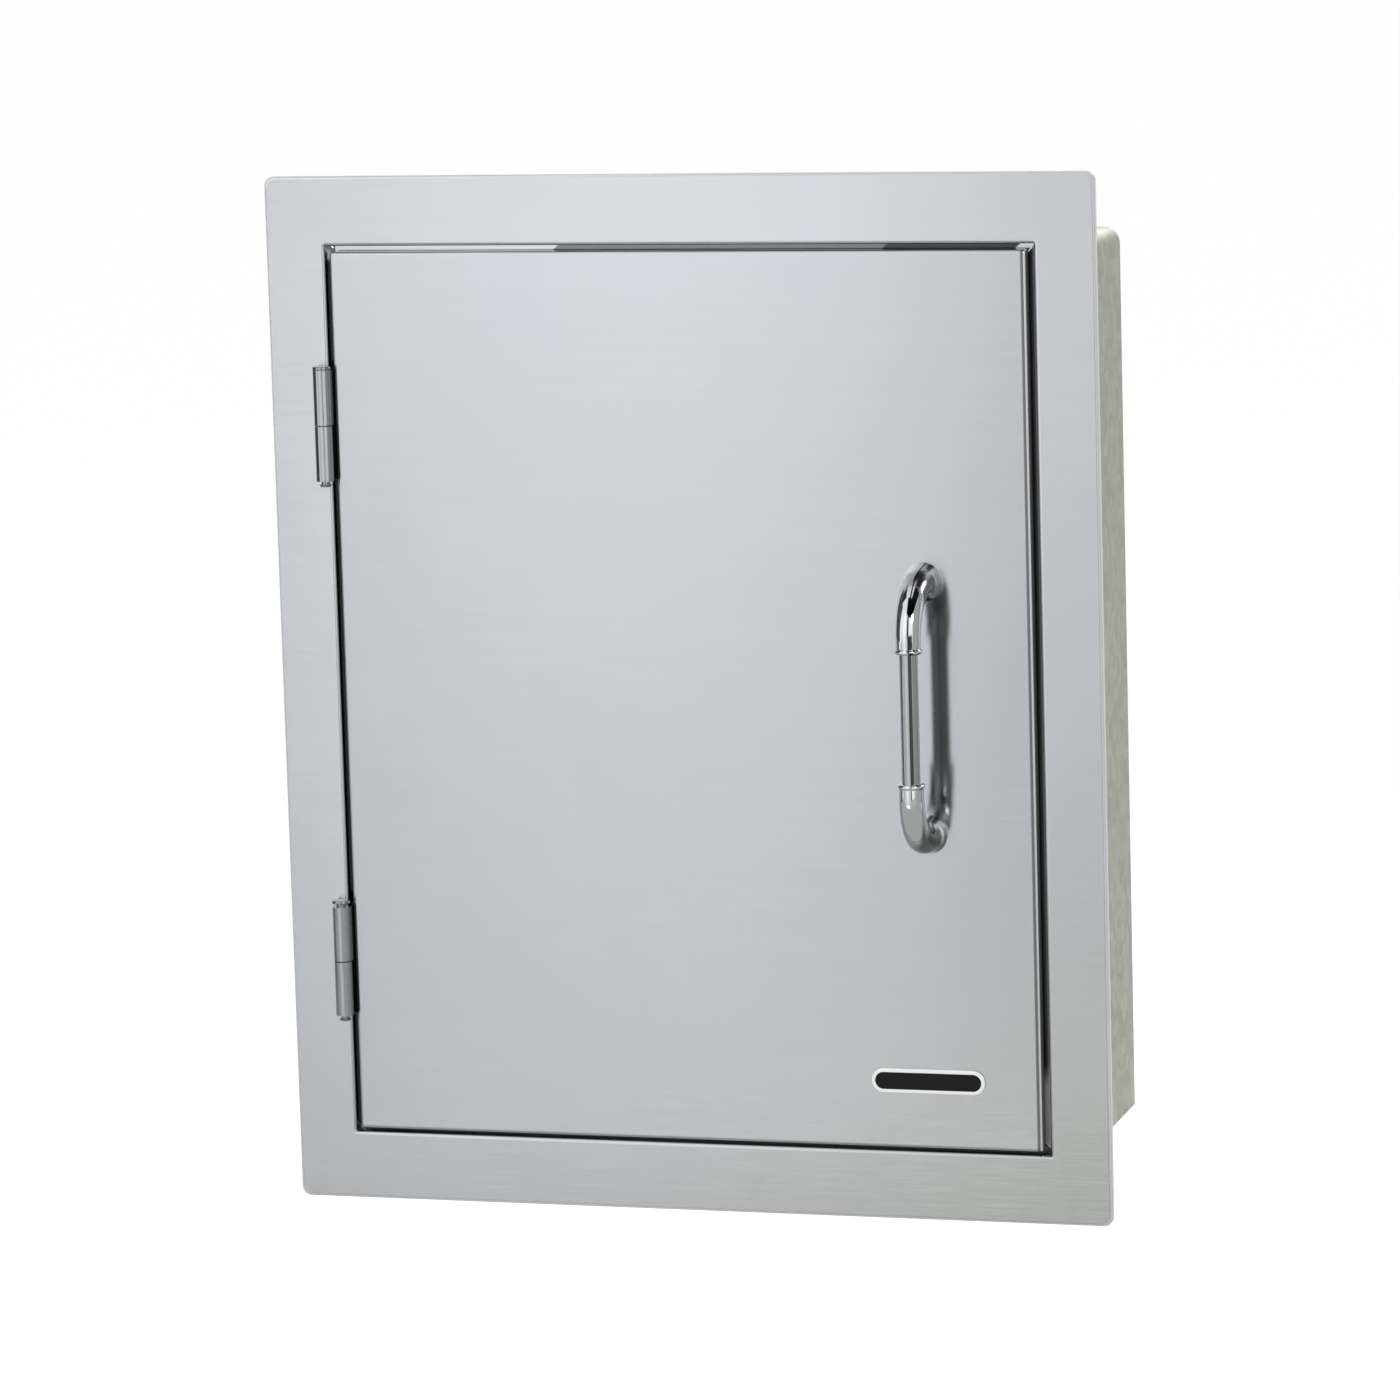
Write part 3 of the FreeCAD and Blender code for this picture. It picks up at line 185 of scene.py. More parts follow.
CARDS = [
    ("camera_side", (7.0, 21.0), (-0.56, 1.55), 2.6, (0.18, 0.18, 0.18)),
    ("right_wall", (58.0, 112.0), (-0.56, 1.6), 2.5, (0.38, 0.39, 0.38)),
    ("right_back", (128.0, 172.0), (-0.56, 1.6), 2.5, (0.88, 0.89, 0.87)),
    ("left_edge", (-112.0, -62.0), (-0.31, 2.0), 2.2, (0.07, 0.07, 0.07)),
    ("left_low", (-112.0, -74.0), (-0.56, -0.31), 2.2, (0.15, 0.15, 0.15)),
]
CARD_STEPS = 24

# Level cards: name, width, height, place, tone

FLAT_CARDS = [
    ("ceiling_right", 3.15, 5.25, (1.375, -0.125, 2.0), (0.012, 0.012, 0.012)),
    ("ceiling_left", 3.0, 5.0, (-1.70, 0.0, 2.0), (0.85, 0.86, 0.86)),
    ("ceiling_edge", 1.55, 2.1, (-1.525, 0.45, 1.95), (0.03, 0.03, 0.03)),
    ("overhead", 1.1, 1.1, (0.125, -0.05, 1.8), (0.75, 0.75, 0.75)),
    ("foreground", 5.0, 1.65, (0.0, -0.225, -0.56), (0.40, 0.41, 0.40)),
    ("floor_right", 3.0, 1.6, (1.55, -1.85, -0.56), (0.48, 0.49, 0.48)),
    ("floor_left", 2.2, 1.6, (-1.86, -1.85, -0.56), (0.45, 0.46, 0.45)),
]

# Softbox mirrored by the door's face: run and rise are the stretch of it that the door shows

SOFTBOX_SIZE = (1.5, 1.9)
SOFTBOX_PLACE = (-0.42, -1.35, 0.30)
SOFTBOX_AIM = (0.0, 0.0, 0.3)
SOFTBOX_RUN = (-0.295, 0.325)
SOFTBOX_RISE = (-0.90, -0.06)
SOFTBOX_LOW = (0.762, 0.78, 0.772)
SOFTBOX_HIGH = (1.208, 1.22, 1.275)
SOFTBOX_LOSS = 0.275
SOFTBOX_LEAN = 0.025
SOFTBOX_CURVE = 0.88

# Sheets: turn and contrast of the brushing, tones of borders, the painted highlight on the door's latch
# edge, painted light and slow changes of tone

ACROSS_GRAIN = 0.25
SHEET_CONTRAST = 0.018
BORDER_TONE = 0.66
LATCH_HIGHLIGHT_TONE = 0.9
FRAME_LIGHT_AND_DAPPLE = {"Middle Light": 0.09, "Top Light": 0.035, "Twist": 0.04, "Dapple": 0.03}
DOOR_DAPPLE = {"Dapple": 0.03}
WARM_TINT = (1.0, 0.995, 0.925)
LATCH_HIGHLIGHT_STRIP = {"Corner": 0.003, "Strip": 0.0008, "Fade": 0.0003}

# Rails: material, node, share of the steel's tone left in the gap as painted shade, painted light and
# dark reflected stretches, and how far the gap's strip of it is matt

RAILS = [
    ("Rail stainless", "stop_rail_bottom", 0.10, {}, 0.0),
    ("Hinge side rail stainless", "stop_rail_hinge_side", 0.10, {"Light Above": 0.2225}, 0.0),
    ("Latch side rail stainless", "stop_rail_latch_side", 0.25, {}, 0.12),
    (
        "Top rail stainless", "stop_rail_top", 0.34,
        {"Light End": -0.0670, "Dark Start": 0.1040, "Dark End": 0.1720}, 0.0,
    ),
]
# Painted reflections on the rails: level and slant of the stretches' ends, and the tones of light and dark
RAIL_LEVEL = 0.226
RAIL_SLANT = 1.2
RAIL_REFLECTED_LIGHT = 1.1
RAIL_REFLECTED_DARK = 0.33
RAIL_STRIP = {"Corner": 0.003, "Strip": 0.0025, "Fade": 0.0012}

# Low down on the matt rail, a lighter stretch of painted light: how matt, the heights between which that
# comes in, and its colour

LOW_MATT = 0.90
LOW_LEVELS = (-0.185, -0.196)
LOW_LIGHTER_COLOUR = (0.54, 0.55, 0.53)

# Painted shade on the backs of bright parts: its colour, which the hinge's dark joint line also takes, how
# dark, and the depths between which the painted shade comes in

SHADE_AND_JOINT_COLOUR = (0.02, 0.02, 0.02)
CHROME_SHADE_DEPTHS = (-0.002, 0.0)
ROD_SHADE_DEPTHS = (-0.004, 0.0)
BARREL_SHADE = (0.88, -0.0108, -0.0090)

# Dark patches of painted shade and painted reflection on the bright metal: share, and spans of place or
# facing over which each comes in

FRONT_DARK_REFLECTION = [("facing X", 0.16, 0.26), ("facing X", 0.58, 0.50), ("facing Y", 0.1, -0.1)]
ABOVE_MIDDLE = ("place Z", 0.0, 0.01)
BELOW_MIDDLE = ("place Z", 0.0, -0.01)
FLANK = ("facing X", 0.70, 0.88)

ROD_PAINTED_SHADE = [(0.90, FRONT_DARK_REFLECTION)]

ELBOW_PAINTED_SHADE = [
    (0.88, [FLANK, ("place Y", -0.0315, -0.0275), ("place Y", -0.0095, -0.0120)]),
    (0.60, [FLANK, ("place Y", -0.0120, -0.0095), ABOVE_MIDDLE]),
    (0.66, [FLANK, ("place Y", -0.0085, -0.0070), BELOW_MIDDLE]),
    (0.85, [("facing Z", 0.70, 0.80), ("facing X", 0.28, 0.45), ("place Y", -0.0135, -0.0095)]),
    (0.66, [("facing Y", -0.64, -0.54), ("facing Z", -0.20, -0.45), ("facing X", -0.35, 0.25)]),
    (0.36, [("facing Z", 0.70, 0.85), ("place Y", -0.016, -0.020), ABOVE_MIDDLE]),
    (0.32, [("facing Z", 0.80, 0.92), ("facing X", -0.40, 0.0), ABOVE_MIDDLE]),
    (0.97, FRONT_DARK_REFLECTION + [("facing Z", 0.10, 0.06), ABOVE_MIDDLE]),
    (0.97, FRONT_DARK_REFLECTION + [("facing Z", 0.34, 0.37), ("facing Z", 0.60, 0.50), ABOVE_MIDDLE]),
    (0.95, [("facing X", 0.13, 0.17), ("facing X", 0.28, 0.23), ("facing Z", 0.03, 0.07), ABOVE_MIDDLE]),
]

# Painted reflection along the door's latch-side bend: its share and spans inside the edge; then painted
# shade on the skin's faces turned to the latch side
FOLD_REFLECTION_SHARE = 0.68
FOLD_REFLECTION_SPANS = ((0.0028, 0.0022), (0.0009, 0.0014))
LATCH_SIDE_SHADE = (0.86, [("facing X", 0.80, 0.97)])

# Handle, pins and screws

BEAD_STEPS = 14
MOUTH_DEPTH = 0.0012
MOUTH_GAP = 0.00005
ROD_EDGE = 0.0004
PIN_TIP_HEIGHT = 0.0012
PIN_HEAD_HEIGHT = 0.0016
PIN_SOFT_EDGE = 0.0004
PIN_SEGMENTS = 48
SCREWS_PER_LEAF = 3
SCREW_HEAD_RADIUS = 0.0025
RECESS_WIDTH = 0.0005
RECESS_SPAN = 0.0028
RECESS_RISE = 0.00002
RECESS_TAPER = 0.6


# Node helpers


class Value:
    """A node's output: sums, products and masks of it are further nodes in the same tree."""

    def __init__(self, socket):
        self.socket = socket
        self.tree = socket.id_data

    def math(self, operation, *others):
        values = dict(enumerate((self, *others)))
        return new_value(self.tree, "ShaderNodeMath", values, operation=operation)

    def __add__(self, other):
        return self.math("ADD", other)

    def __sub__(self, other):
        return self.math("SUBTRACT", other)

    def __rsub__(self, other):
        return self * -1.0 + other

    def __mul__(self, other):
        return self.math("MULTIPLY", other)

    def __truediv__(self, other):
        return self.math("DIVIDE", other)

    def __pow__(self, other):
        return self.math("POWER", other)

    def __abs__(self):
        return self.math("ABSOLUTE")

    def highest(self, other):
        return self.math("MAXIMUM", other)

    def held(self):
        """Held between 0 and 1."""
        return self.highest(0.0).math("MINIMUM", 1.0)

    def spread(self, start, full):
        """0 at one value, 1 at another, and held outside them."""
        values = {"Value": self, "From Min": start, "From Max": full}
        return new_value(self.tree, "ShaderNodeMapRange", values, "Result", clamp=True)

    def mix(self, first, second):
        """The first colour where this is 0, the second where it is 1."""
        values = {0: self, 6: first, 7: second}
        return new_value(self.tree, "ShaderNodeMix", values, 2, data_type="RGBA", clamp_factor=True)

    def vector_math(self, operation, other):
        """A colour or vector changed by another, or scaled by a number."""
        values = {0: self, "Scale" if operation == "SCALE" else 1: other}
        return new_value(self.tree, "ShaderNodeVectorMath", values, operation=operation)

    def split(self):
        """X, Y and Z of a vector."""
        parts = add(self.tree, "ShaderNodeSeparateXYZ", {0: self}).outputs
        return [Value(parts[axis]) for axis in "XYZ"]


def put(socket, value):
    """Links a value to an input, or sets a constant on it. Colours are given as three parts."""
    if isinstance(value, Value):
        value.tree.links.new(value.socket, socket)
    elif socket.type == "RGBA":
        socket.default_value = (*value, 1.0)
    else:
        socket.default_value = value


def add(tree, kind, values, **settings):
    """A node with its settings and inputs."""
    node = tree.nodes.new(kind)
    for key, value in settings.items():
        setattr(node, key, value)
    for key, value in values.items():
        put(node.inputs[key], value)
    return node


def new_value(tree, kind, values, output=0, **settings):
    return Value(add(tree, kind, values, **settings).outputs[output])


def coordinate(tree, output="Object"):
    return new_value(tree, "ShaderNodeTexCoord", {}, output)


def noise(place, scale, detail, roughness=0.5, distortion=0.0, output=0, **settings):
    values = {"Vector": place, "Scale": scale, "Detail": detail}
    values.update({"Roughness": roughness, "Distortion": distortion})
    return new_value(place.tree, "ShaderNodeTexNoise", values, output, **settings)


def cells(place, scale):
    """Cells of a pattern: a chance number for each, and the distance from its middle."""
    node = add(place.tree, "ShaderNodeTexVoronoi", {"Vector": place, "Scale": scale}, feature="F1")
    chance = new_value(place.tree, "ShaderNodeSeparateColor", {0: Value(node.outputs["Color"])})
    return chance, Value(node.outputs["Distance"])


def two_tones(colour, contrast):
    """The darker and the lighter tone of a colour."""
    return [[min(1.0, part * (1 + step)) for part in colour] for step in (-contrast, contrast)]


# Node groups


def new_group(name, inputs):
    """A node group with named inputs: its tree, and the inputs' values."""
    group = bpy.data.node_groups.new(name, "ShaderNodeTree")
    for title, default in inputs.items():
        socket = group.interface.new_socket(title, in_out="INPUT", socket_type="NodeSocketFloat")
        socket.default_value = default
    start = group.nodes.new("NodeGroupInput")
    return group, {title: Value(start.outputs[title]) for title in inputs}


def finish_group(group, results):
    """Names and feeds a group's outputs."""
    for title in results:
        group.interface.new_socket(title, in_out="OUTPUT", socket_type="NodeSocketFloat")
    add(group, "NodeGroupOutput", results)
    return group


def use_group(tree, name, maker, values):
    """The outputs of a shared group, which is made when it is first needed."""
    group = bpy.data.node_groups.get(name) or maker()
    node = add(tree, "ShaderNodeGroup", values, node_tree=group)
    return {socket.name: Value(socket) for socket in node.outputs}


def brush_group():
    """Brushed lines along one direction: a value for each line, soft bands and clouds."""
    group, given = new_group("Brushed lines", {"Spacing": 0.0007, "Length": 0.045, "Upright": 0.0})
    place = coordinate(group)
    x, y, z = place.split()
    level = x + y
    upright = given["Upright"]
    run = (level * (1 - upright) + z * upright) / given["Length"]
    across = (z * (1 - upright) + level * upright) / given["Spacing"]

    def streaks(run_share, across_share, detail, roughness):
        values = {"X": run * run_share, "Y": across * across_share}
        at = new_value(group, "ShaderNodeCombineXYZ", values)
        return noise(at, 1.0, detail, roughness, noise_dimensions="2D").spread(0.3, 0.7)

    lines = streaks(1.0, 1.0, 3.0, 0.65)
    bands = streaks(0.35, 0.11, 2.0, 0.5)
    clouds = noise(place, 9.0, 2.0).spread(0.3, 0.7)
    return finish_group(group, {"Lines": lines, "Bands": bands, "Clouds": clouds})


def spangle_group():
    """Zinc crystals: a value for each crystal, and fine powdery grain."""
    group, given = new_group("Zinc spangle", {"Size": 0.006})
    place = coordinate(group)
    bend = noise(place, 160.0, 2.0, output="Color").vector_math("SCALE", 0.003)
    crystals = cells(place.vector_math("ADD", bend), given["Size"] ** -1.0)[0]
    powder = noise(place, 900.0, 3.0, 0.7).spread(0.3, 0.7)
    return finish_group(group, {"Crystals": crystals, "Powder": powder})


def marks_group():
    """Sparse marks: rubbed scuffs, small specks and faint finger smears."""
    group, given = new_group("Wear marks", {"Amount": 0.5, "Speck Scale": 90.0})
    place = coordinate(group)
    rubbed = noise(place, 14.0, 2.0) * noise(place, 160.0, 5.0, 0.75)
    edge = given["Amount"] * -0.08 + 0.42
    chance, distance = cells(place, given["Speck Scale"])
    specks = chance.spread(0.93, 0.94) * distance.spread(0.10, 0.05)
    smears = noise(place, 22.0, 3.0, 0.55, 1.2).spread(0.45, 0.75)
    scuffs = rubbed.spread(edge, edge + 0.03)
    return finish_group(group, {"Scuffs": scuffs, "Specks": specks, "Smears": smears})


def back_shade_group():
    """Where bright metal gets painted shade: 1 on sides that face the door, and close to the door past a
    depth.
    """
    group, given = new_group("Back side painted shade", {"Front": -0.017, "Back": -0.012, "Ragged": 0.001})
    place = coordinate(group)
    wander = (noise(place, 500.0, 3.0) - 0.5) * given["Ragged"]
    near = (place.split()[1] + wander).spread(given["Front"], given["Back"])
    facing = coordinate(group, "Normal").split()[1].spread(0.05, 0.40)
    # The Dull output is this painted shade mask
    return finish_group(group, {"Dull": near.highest(facing)})


def border_group():
    """1 on the outermost strip of a sheet with rounded corners, and beyond it."""
    sheet = {"Centre": 0.0, "Half Width": 0.2, "Half Height": 0.2}
    group, given = new_group("Sheet border", {**sheet, "Corner": 0.006, "Strip": 0.0016, "Fade": 0.0008})
    x, _, z = coordinate(group).split()
    aside = abs(x - given["Centre"]) - given["Half Width"]
    above = abs(z) - given["Half Height"]
    aside, above = [(past + given["Corner"]).highest(0.0) for past in (aside, above)]
    reach = (aside * aside + above * above).math("SQRT")
    border = (reach - given["Corner"] + given["Strip"]) / given["Fade"]
    return finish_group(group, {"Border": border.held()})


def light_and_dapple_group():
    """Slow change of tone, about 1, over a sheet: painted light across the middle, towards the top and at
    the corners, with random dapple.
    """
    sheet = {"Half Width": 0.20, "Half Height": 0.25}
    group, given = new_group("Sheet light and dapple", {**sheet, "Middle Light": 0.0, "Top Light": 0.0, "Twist": 0.0, "Dapple": 0.02})
    place = coordinate(group)
    x, _, z = place.split()
    across = x / given["Half Width"]
    up = z / given["Half Height"]
    tone = (1 - up * up) * given["Middle Light"] + up * given["Top Light"] + across * up * given["Twist"]
    dapple = (noise(place, 28.0, 3.0) - 0.5) * given["Dapple"]
    lower_right = (across - up * 1.5).spread(1.0, 2.4)
    return finish_group(group, {"Tone": tone + dapple + 1.0, "Lower Right": lower_right})


def rail_reflection_group():
    """Painted reflections of what the rails round the door mirror: light and dark stretches of their outer
    faces.
    """
    ends = {"Light End": -1.0, "Dark Start": 1.0, "Dark End": 1.0, "Light Above": 1.0}
    group, given = new_group("Rail painted reflections", ends)
    x, _, z = coordinate(group).split()
    slant = (RAIL_LEVEL - z) * RAIL_SLANT + x

    def beyond(value, name, sharpness):
        return ((value - given[name]) * sharpness + 0.5).held()

    right = beyond(slant, "Dark End", 900.0)
    light = beyond(slant, "Light End", -900.0).highest(right).highest(beyond(z, "Light Above", 450.0))
    dark = beyond(slant, "Dark Start", 900.0) - right
    outer = coordinate(group, "Normal").split()[1].spread(-0.3, -0.6)
    return finish_group(group, {"Outer": outer, "Light": light, "Dark": dark})


def ring_group():
    """1 on the thin joint line round a part at a height above and below the middle."""
    group, given = new_group("Joint line", {"Height": 0.139, "Half Width": 0.0004})
    level = abs(coordinate(group).split()[2])
    near = abs(level - given["Height"]) / given["Half Width"]
    return finish_group(group, {"Line": ((1 - near) * 2.0).held()})


# Materials


def new_material(name):
    material = bpy.data.materials.new(name)
    material.use_nodes = True
    return material, material.node_tree, material.node_tree.nodes["Principled BSDF"]


def set_shader(shader, **values):
    for key, value in values.items():
        put(shader.inputs[key.replace("_", " ").title().replace("Ior", "IOR")], value)


def raise_bump(shader, height, strength, distance):
    values = {"Height": height, "Strength": strength, "Distance": distance}
    set_shader(shader, normal=new_value(height.tree, "ShaderNodeBump", values))


def colour_of(material):
    """The colour that feeds a material's shader, and the shader."""
    shader = material.node_tree.nodes["Principled BSDF"]
    return Value(shader.inputs["Base Color"].links[0].from_socket), shader


def brushed_steel(
    name, colour, roughness, anisotropy, grain, contrast,
    upright=0.0, border=None, border_and_highlight_tone=BORDER_TONE, light_and_dapple=None, shade=None,
):
    """Brushed stainless: line by line tone and roughness, soft bands, faint smears."""
    material, tree, shader = new_material(name)
    brushing = {"Spacing": grain[0], "Length": grain[1], "Upright": upright}
    lines = use_group(tree, "Brushed lines", brush_group, brushing)
    marks = use_group(tree, "Wear marks", marks_group, {"Amount": 0.2, "Speck Scale": 60.0})
    both = lines["Lines"] * 0.55 + lines["Bands"] * 0.45
    cool = (colour[0] * 0.965, colour[1] * 0.985, colour[2] * 1.01)
    tone = (lines["Clouds"] * 0.5).mix(both.mix(*two_tones(colour, contrast)), cool)
    rough = lines["Lines"] * 0.05 + (roughness - 0.025) + marks["Smears"] * 0.02
    metal = 1.0
    # Painted light over the sheet, with random dapple and a warmer lower right
    if light_and_dapple:
        shape = use_group(tree, "Sheet light and dapple", light_and_dapple_group, light_and_dapple)
        lit_and_dappled = tone.vector_math("SCALE", shape["Tone"])
        tone = shape["Lower Right"].mix(lit_and_dappled, lit_and_dappled.vector_math("MULTIPLY", WARM_TINT))
    # A border strip of its own tone, rougher and less metallic; on the door's latch side it is a painted
    # highlight line
    if border:
        strip = use_group(tree, "Sheet border", border_group, border)["Border"]
        tone = strip.mix(tone, [border_and_highlight_tone] * 3)
        rough = rough + strip * 0.35
        metal = strip * -0.85 + 1.0
    # Painted shade on the side towards the door, and the dark joint line
    if shade:
        line = use_group(tree, "Joint line", ring_group, {})["Line"]
        tone = line.mix(paint_back_shade(tone, *shade), SHADE_AND_JOINT_COLOUR)
    set_shader(shader, base_color=tone, roughness=rough, metallic=metal, anisotropic=anisotropy)
    set_shader(shader, anisotropic_rotation=ACROSS_GRAIN * (1 - upright))
    raise_bump(shader, lines["Lines"], 0.12, 0.00004)
    return material


def paint_back_shade(colour, shading, front, back):
    """Colour of a metal with painted shade where it faces the door."""
    depths = {"Front": front, "Back": back, "Ragged": (back - front) / 2}
    shade_mask = use_group(colour.tree, "Back side painted shade", back_shade_group, depths)["Dull"]
    return (shade_mask * shading).mix(colour, SHADE_AND_JOINT_COLOUR)


def shade_patches(material, patches):
    """Darkens patches of a material with painted shade and painted reflections: each is a share and the
    spans over which it comes in.
    """
    colour, shader = colour_of(material)
    values = {}
    for title, output in (("place", "Object"), ("facing", "Normal")):
        parts = coordinate(material.node_tree, output).split()
        values.update({f"{title} {axis}": part for axis, part in zip("XYZ", parts)})
    whole = 0.0
    for share, spans in patches:
        patch = share
        for value, start, full in spans:
            patch = values[value].spread(start, full) * patch
        whole = patch.highest(whole)
    set_shader(shader, base_color=whole.mix(colour, SHADE_AND_JOINT_COLOUR))


def plain_metal(name, colour, roughness, variation=0.06, scale=300.0, shading=0.0):
    """Satin or bright metal with fine tone and roughness changes and light smears."""
    material, tree, shader = new_material(name)
    fine = noise(coordinate(tree), scale, 4.0)
    marks = use_group(tree, "Wear marks", marks_group, {"Amount": 0.3, "Speck Scale": 200.0})
    tone = fine.mix(*two_tones(colour, variation))
    # Painted shade on the side towards the door
    if shading:
        tone = paint_back_shade(tone, shading, *ROD_SHADE_DEPTHS)
    set_shader(shader, base_color=tone, roughness=marks["Smears"] * 0.05 + roughness, metallic=1.0)
    raise_bump(shader, fine, 0.05, 0.00002)
    return material


def chrome(name, colour, shading=0.0, metallic=1.0):
    """Bright plating with a trace of haze and polishing marks."""
    material, tree, shader = new_material(name)
    marks = use_group(tree, "Wear marks", marks_group, {"Amount": 0.2, "Speck Scale": 400.0})
    smears = marks["Smears"]
    tone = (smears * 0.6).mix(colour, [part * 0.93 for part in colour])
    # Painted shade on the side towards the door
    if shading:
        tone = paint_back_shade(tone, shading, *CHROME_SHADE_DEPTHS)
    set_shader(shader, base_color=tone, roughness=smears * 0.05 + 0.045, metallic=metallic)
    return material


def plastic(name, colour, roughness, grain_height, scale, specular=0.5):
    """Moulded plastic, enamel, rubber or foam: a fine grain and small tone changes."""
    material, tree, shader = new_material(name)
    grain = noise(coordinate(tree), scale, 4.0, 0.7)
    tone = grain.mix([part * 0.88 for part in colour], colour)
    set_shader(shader, base_color=tone, roughness=grain * 0.12 + (roughness - 0.06))
    set_shader(shader, specular_ior_level=specular)
    raise_bump(shader, grain, 0.4, grain_height)
    return material


def galvanised(name, settings):
    """Dull zinc sheet with faint crystals, powdery grain and dark scuffs."""
    material, tree, shader = new_material(name)
    zinc = use_group(tree, "Zinc spangle", spangle_group, {"Size": settings.spangle_size})
    marks = use_group(tree, "Wear marks", marks_group, {"Amount": 0.6, "Speck Scale": 110.0})
    depth = zinc["Crystals"] * 0.35 + zinc["Powder"] * 0.4
    sheet = depth.mix(settings.zinc_colour, settings.zinc_dark)
    scuffed = (marks["Scuffs"] * 0.7).mix(sheet, settings.scuff_colour)
    tone = marks["Specks"].mix(scuffed, settings.scuff_colour)
    set_shader(shader, base_color=tone, roughness=zinc["Crystals"] * 0.12 + 0.46, metallic=0.75)
    raise_bump(shader, zinc["Powder"], 0.25, 0.00006)
    return material


# Mesh helpers


def middle(node):
    low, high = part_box(node)
    return [(first + second) / 2 for first, second in zip(low, high)]


def paint(names, material):
    """Gives the frame's own nodes a material."""
    for name in names:
        node = NODES[name]
        if not node.material_slots:
            node.data.materials.append(material)
        for slot in node.material_slots:
            slot.material = material


def finish_piece(piece, body, material, stands_for=()):
    """Material and body of a new piece, and hides the nodes that it stands for."""
    piece.data.materials.append(material)
    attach(piece, body)
    if stands_for:
        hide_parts(*stands_for)


def object_from(name, mesh_data):
    """An object in the scene from a bmesh."""
    mesh = bpy.data.meshes.new(name)
    mesh_data.to_mesh(mesh)
    mesh_data.free()
    piece = bpy.data.objects.new(name, mesh)
    bpy.context.scene.collection.objects.link(piece)
    return piece


def piece_from(name, mesh_data, smooth_angle=35.0):
    """An object from a bmesh, smooth except over sharp edges."""
    bmesh.ops.recalc_face_normals(mesh_data, faces=mesh_data.faces[:])
    limit = math.radians(smooth_angle)
    for edge in mesh_data.edges:
        edge.smooth = len(edge.link_faces) == 2 and edge.calc_face_angle(0.0) < limit
    for face in mesh_data.faces:
        face.smooth = True
    return object_from(name, mesh_data)


def bridge(mesh_data, first, second):
    count = len(first)
    for index in range(count):
        after = (index + 1) % count
        mesh_data.faces.new((first[index], first[after], second[after], second[index]))


def tube(mesh_data, stations, segments):
    """A closed tube through stations of centre, side, up and radius."""
    turns = [2 * math.pi * index / segments for index in range(segments)]
    rings = []
    for centre, side, up, radius in stations:
        offsets = [side * math.cos(turn) * radius + up * math.sin(turn) * radius for turn in turns]
        rings.append([mesh_data.verts.new(centre + offset) for offset in offsets])
    for first, second in zip(rings, rings[1:]):
        bridge(mesh_data, first, second)
    for ring in (rings[0], rings[-1]):
        mesh_data.faces.new(ring)


def axes_round(axis):
    """An axis with two directions across it."""
    axis = Vector(axis).normalized()
    side = axis.orthogonal().normalized()
    return axis, side, axis.cross(side)


def turned(name, profile, origin, segments):
    """An upright turned piece: the profile is pairs of height and radius."""
    axis, side, up = axes_round((0, 0, 1))
    stations = [(Vector(origin) + axis * along, side, up, radius) for along, radius in profile]
    mesh_data = bmesh.new()
    tube(mesh_data, stations, segments)
    return piece_from(name, mesh_data)


# Operators, one for each piece or group of like pieces


class ACCESSDOOR_OT_face_frame(Operator):
    """Finish the face frame and the stop rails"""

    bl_idname = "accessdoor.face_frame"
    bl_label = "Face frame"

    def execute(self, context):
        steel = context.scene.door_steel
        grain = (steel.grain_spacing, steel.grain_length)
        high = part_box("face_frame")[1]
        skin = brushed_steel(
            "Frame stainless", steel.frame_colour, steel.roughness, steel.anisotropy, grain,
            SHEET_CONTRAST, border={"Half Width": high[0], "Half Height": high[2]}, light_and_dapple=FRAME_LIGHT_AND_DAPPLE,
        )
        paint(["face_frame"], skin)
        for name, node, share, stretches, matt in RAILS:
            rail = brushed_steel(name, steel.rail_colour, 0.12, 0.5, grain, 0.04)
            self.paint_rail_shade(rail, share, stretches, matt)
            paint([node], rail)
        return {"FINISHED"}

    def near_door_edge(self, tree):
        """1 past the door's outline and a little way behind it: what the gap round it shows."""
        low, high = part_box("door_skin")
        outline = {
            "Centre": (low[0] + high[0]) / 2, "Half Width": (high[0] - low[0]) / 2,
            "Half Height": (high[2] - low[2]) / 2, **RAIL_STRIP,
        }
        return use_group(tree, "Sheet border", border_group, outline)["Border"]

    def paint_rail_shade(self, material, share, stretches, matt):
        """Paints shade on a rail's strip in the gap, down to a share of its tone, with painted light and
        dark reflected stretches on it.
        """
        steel, shader = colour_of(material)
        tree = material.node_tree
        masks = use_group(tree, "Rail painted reflections", rail_reflection_group, stretches)
        parts = (share, RAIL_REFLECTED_LIGHT, share * RAIL_REFLECTED_DARK)
        gap_shade, light, dark = [steel.vector_math("SCALE", part) for part in parts]
        # Painted reflections: light and dark stretches over the gap's painted shade
        outer = masks["Dark"].mix(masks["Light"].mix(gap_shade, light), dark)
        seen = masks["Outer"] * self.near_door_edge(tree)
        tone = seen.mix(steel, outer)
        # Where matt is given: a lighter, matt stretch of painted light low down
        if matt:
            low = coordinate(tree).split()[2].spread(*LOW_LEVELS) * seen
            tone = low.mix(tone, LOW_LIGHTER_COLOUR)
            set_shader(shader, metallic=seen * -matt + 1.0 + low * (matt - LOW_MATT))
        set_shader(shader, base_color=tone)


class ACCESSDOOR_OT_sleeve(Operator):
    """Finish the galvanised sleeve"""

    bl_idname = "accessdoor.sleeve"
    bl_label = "Sleeve"

    def execute(self, context):
        zinc = galvanised("Galvanised sheet", context.scene.door_sleeve)
        paint(["sleeve_wrap", "sleeve_floor"], zinc)
        return {"FINISHED"}


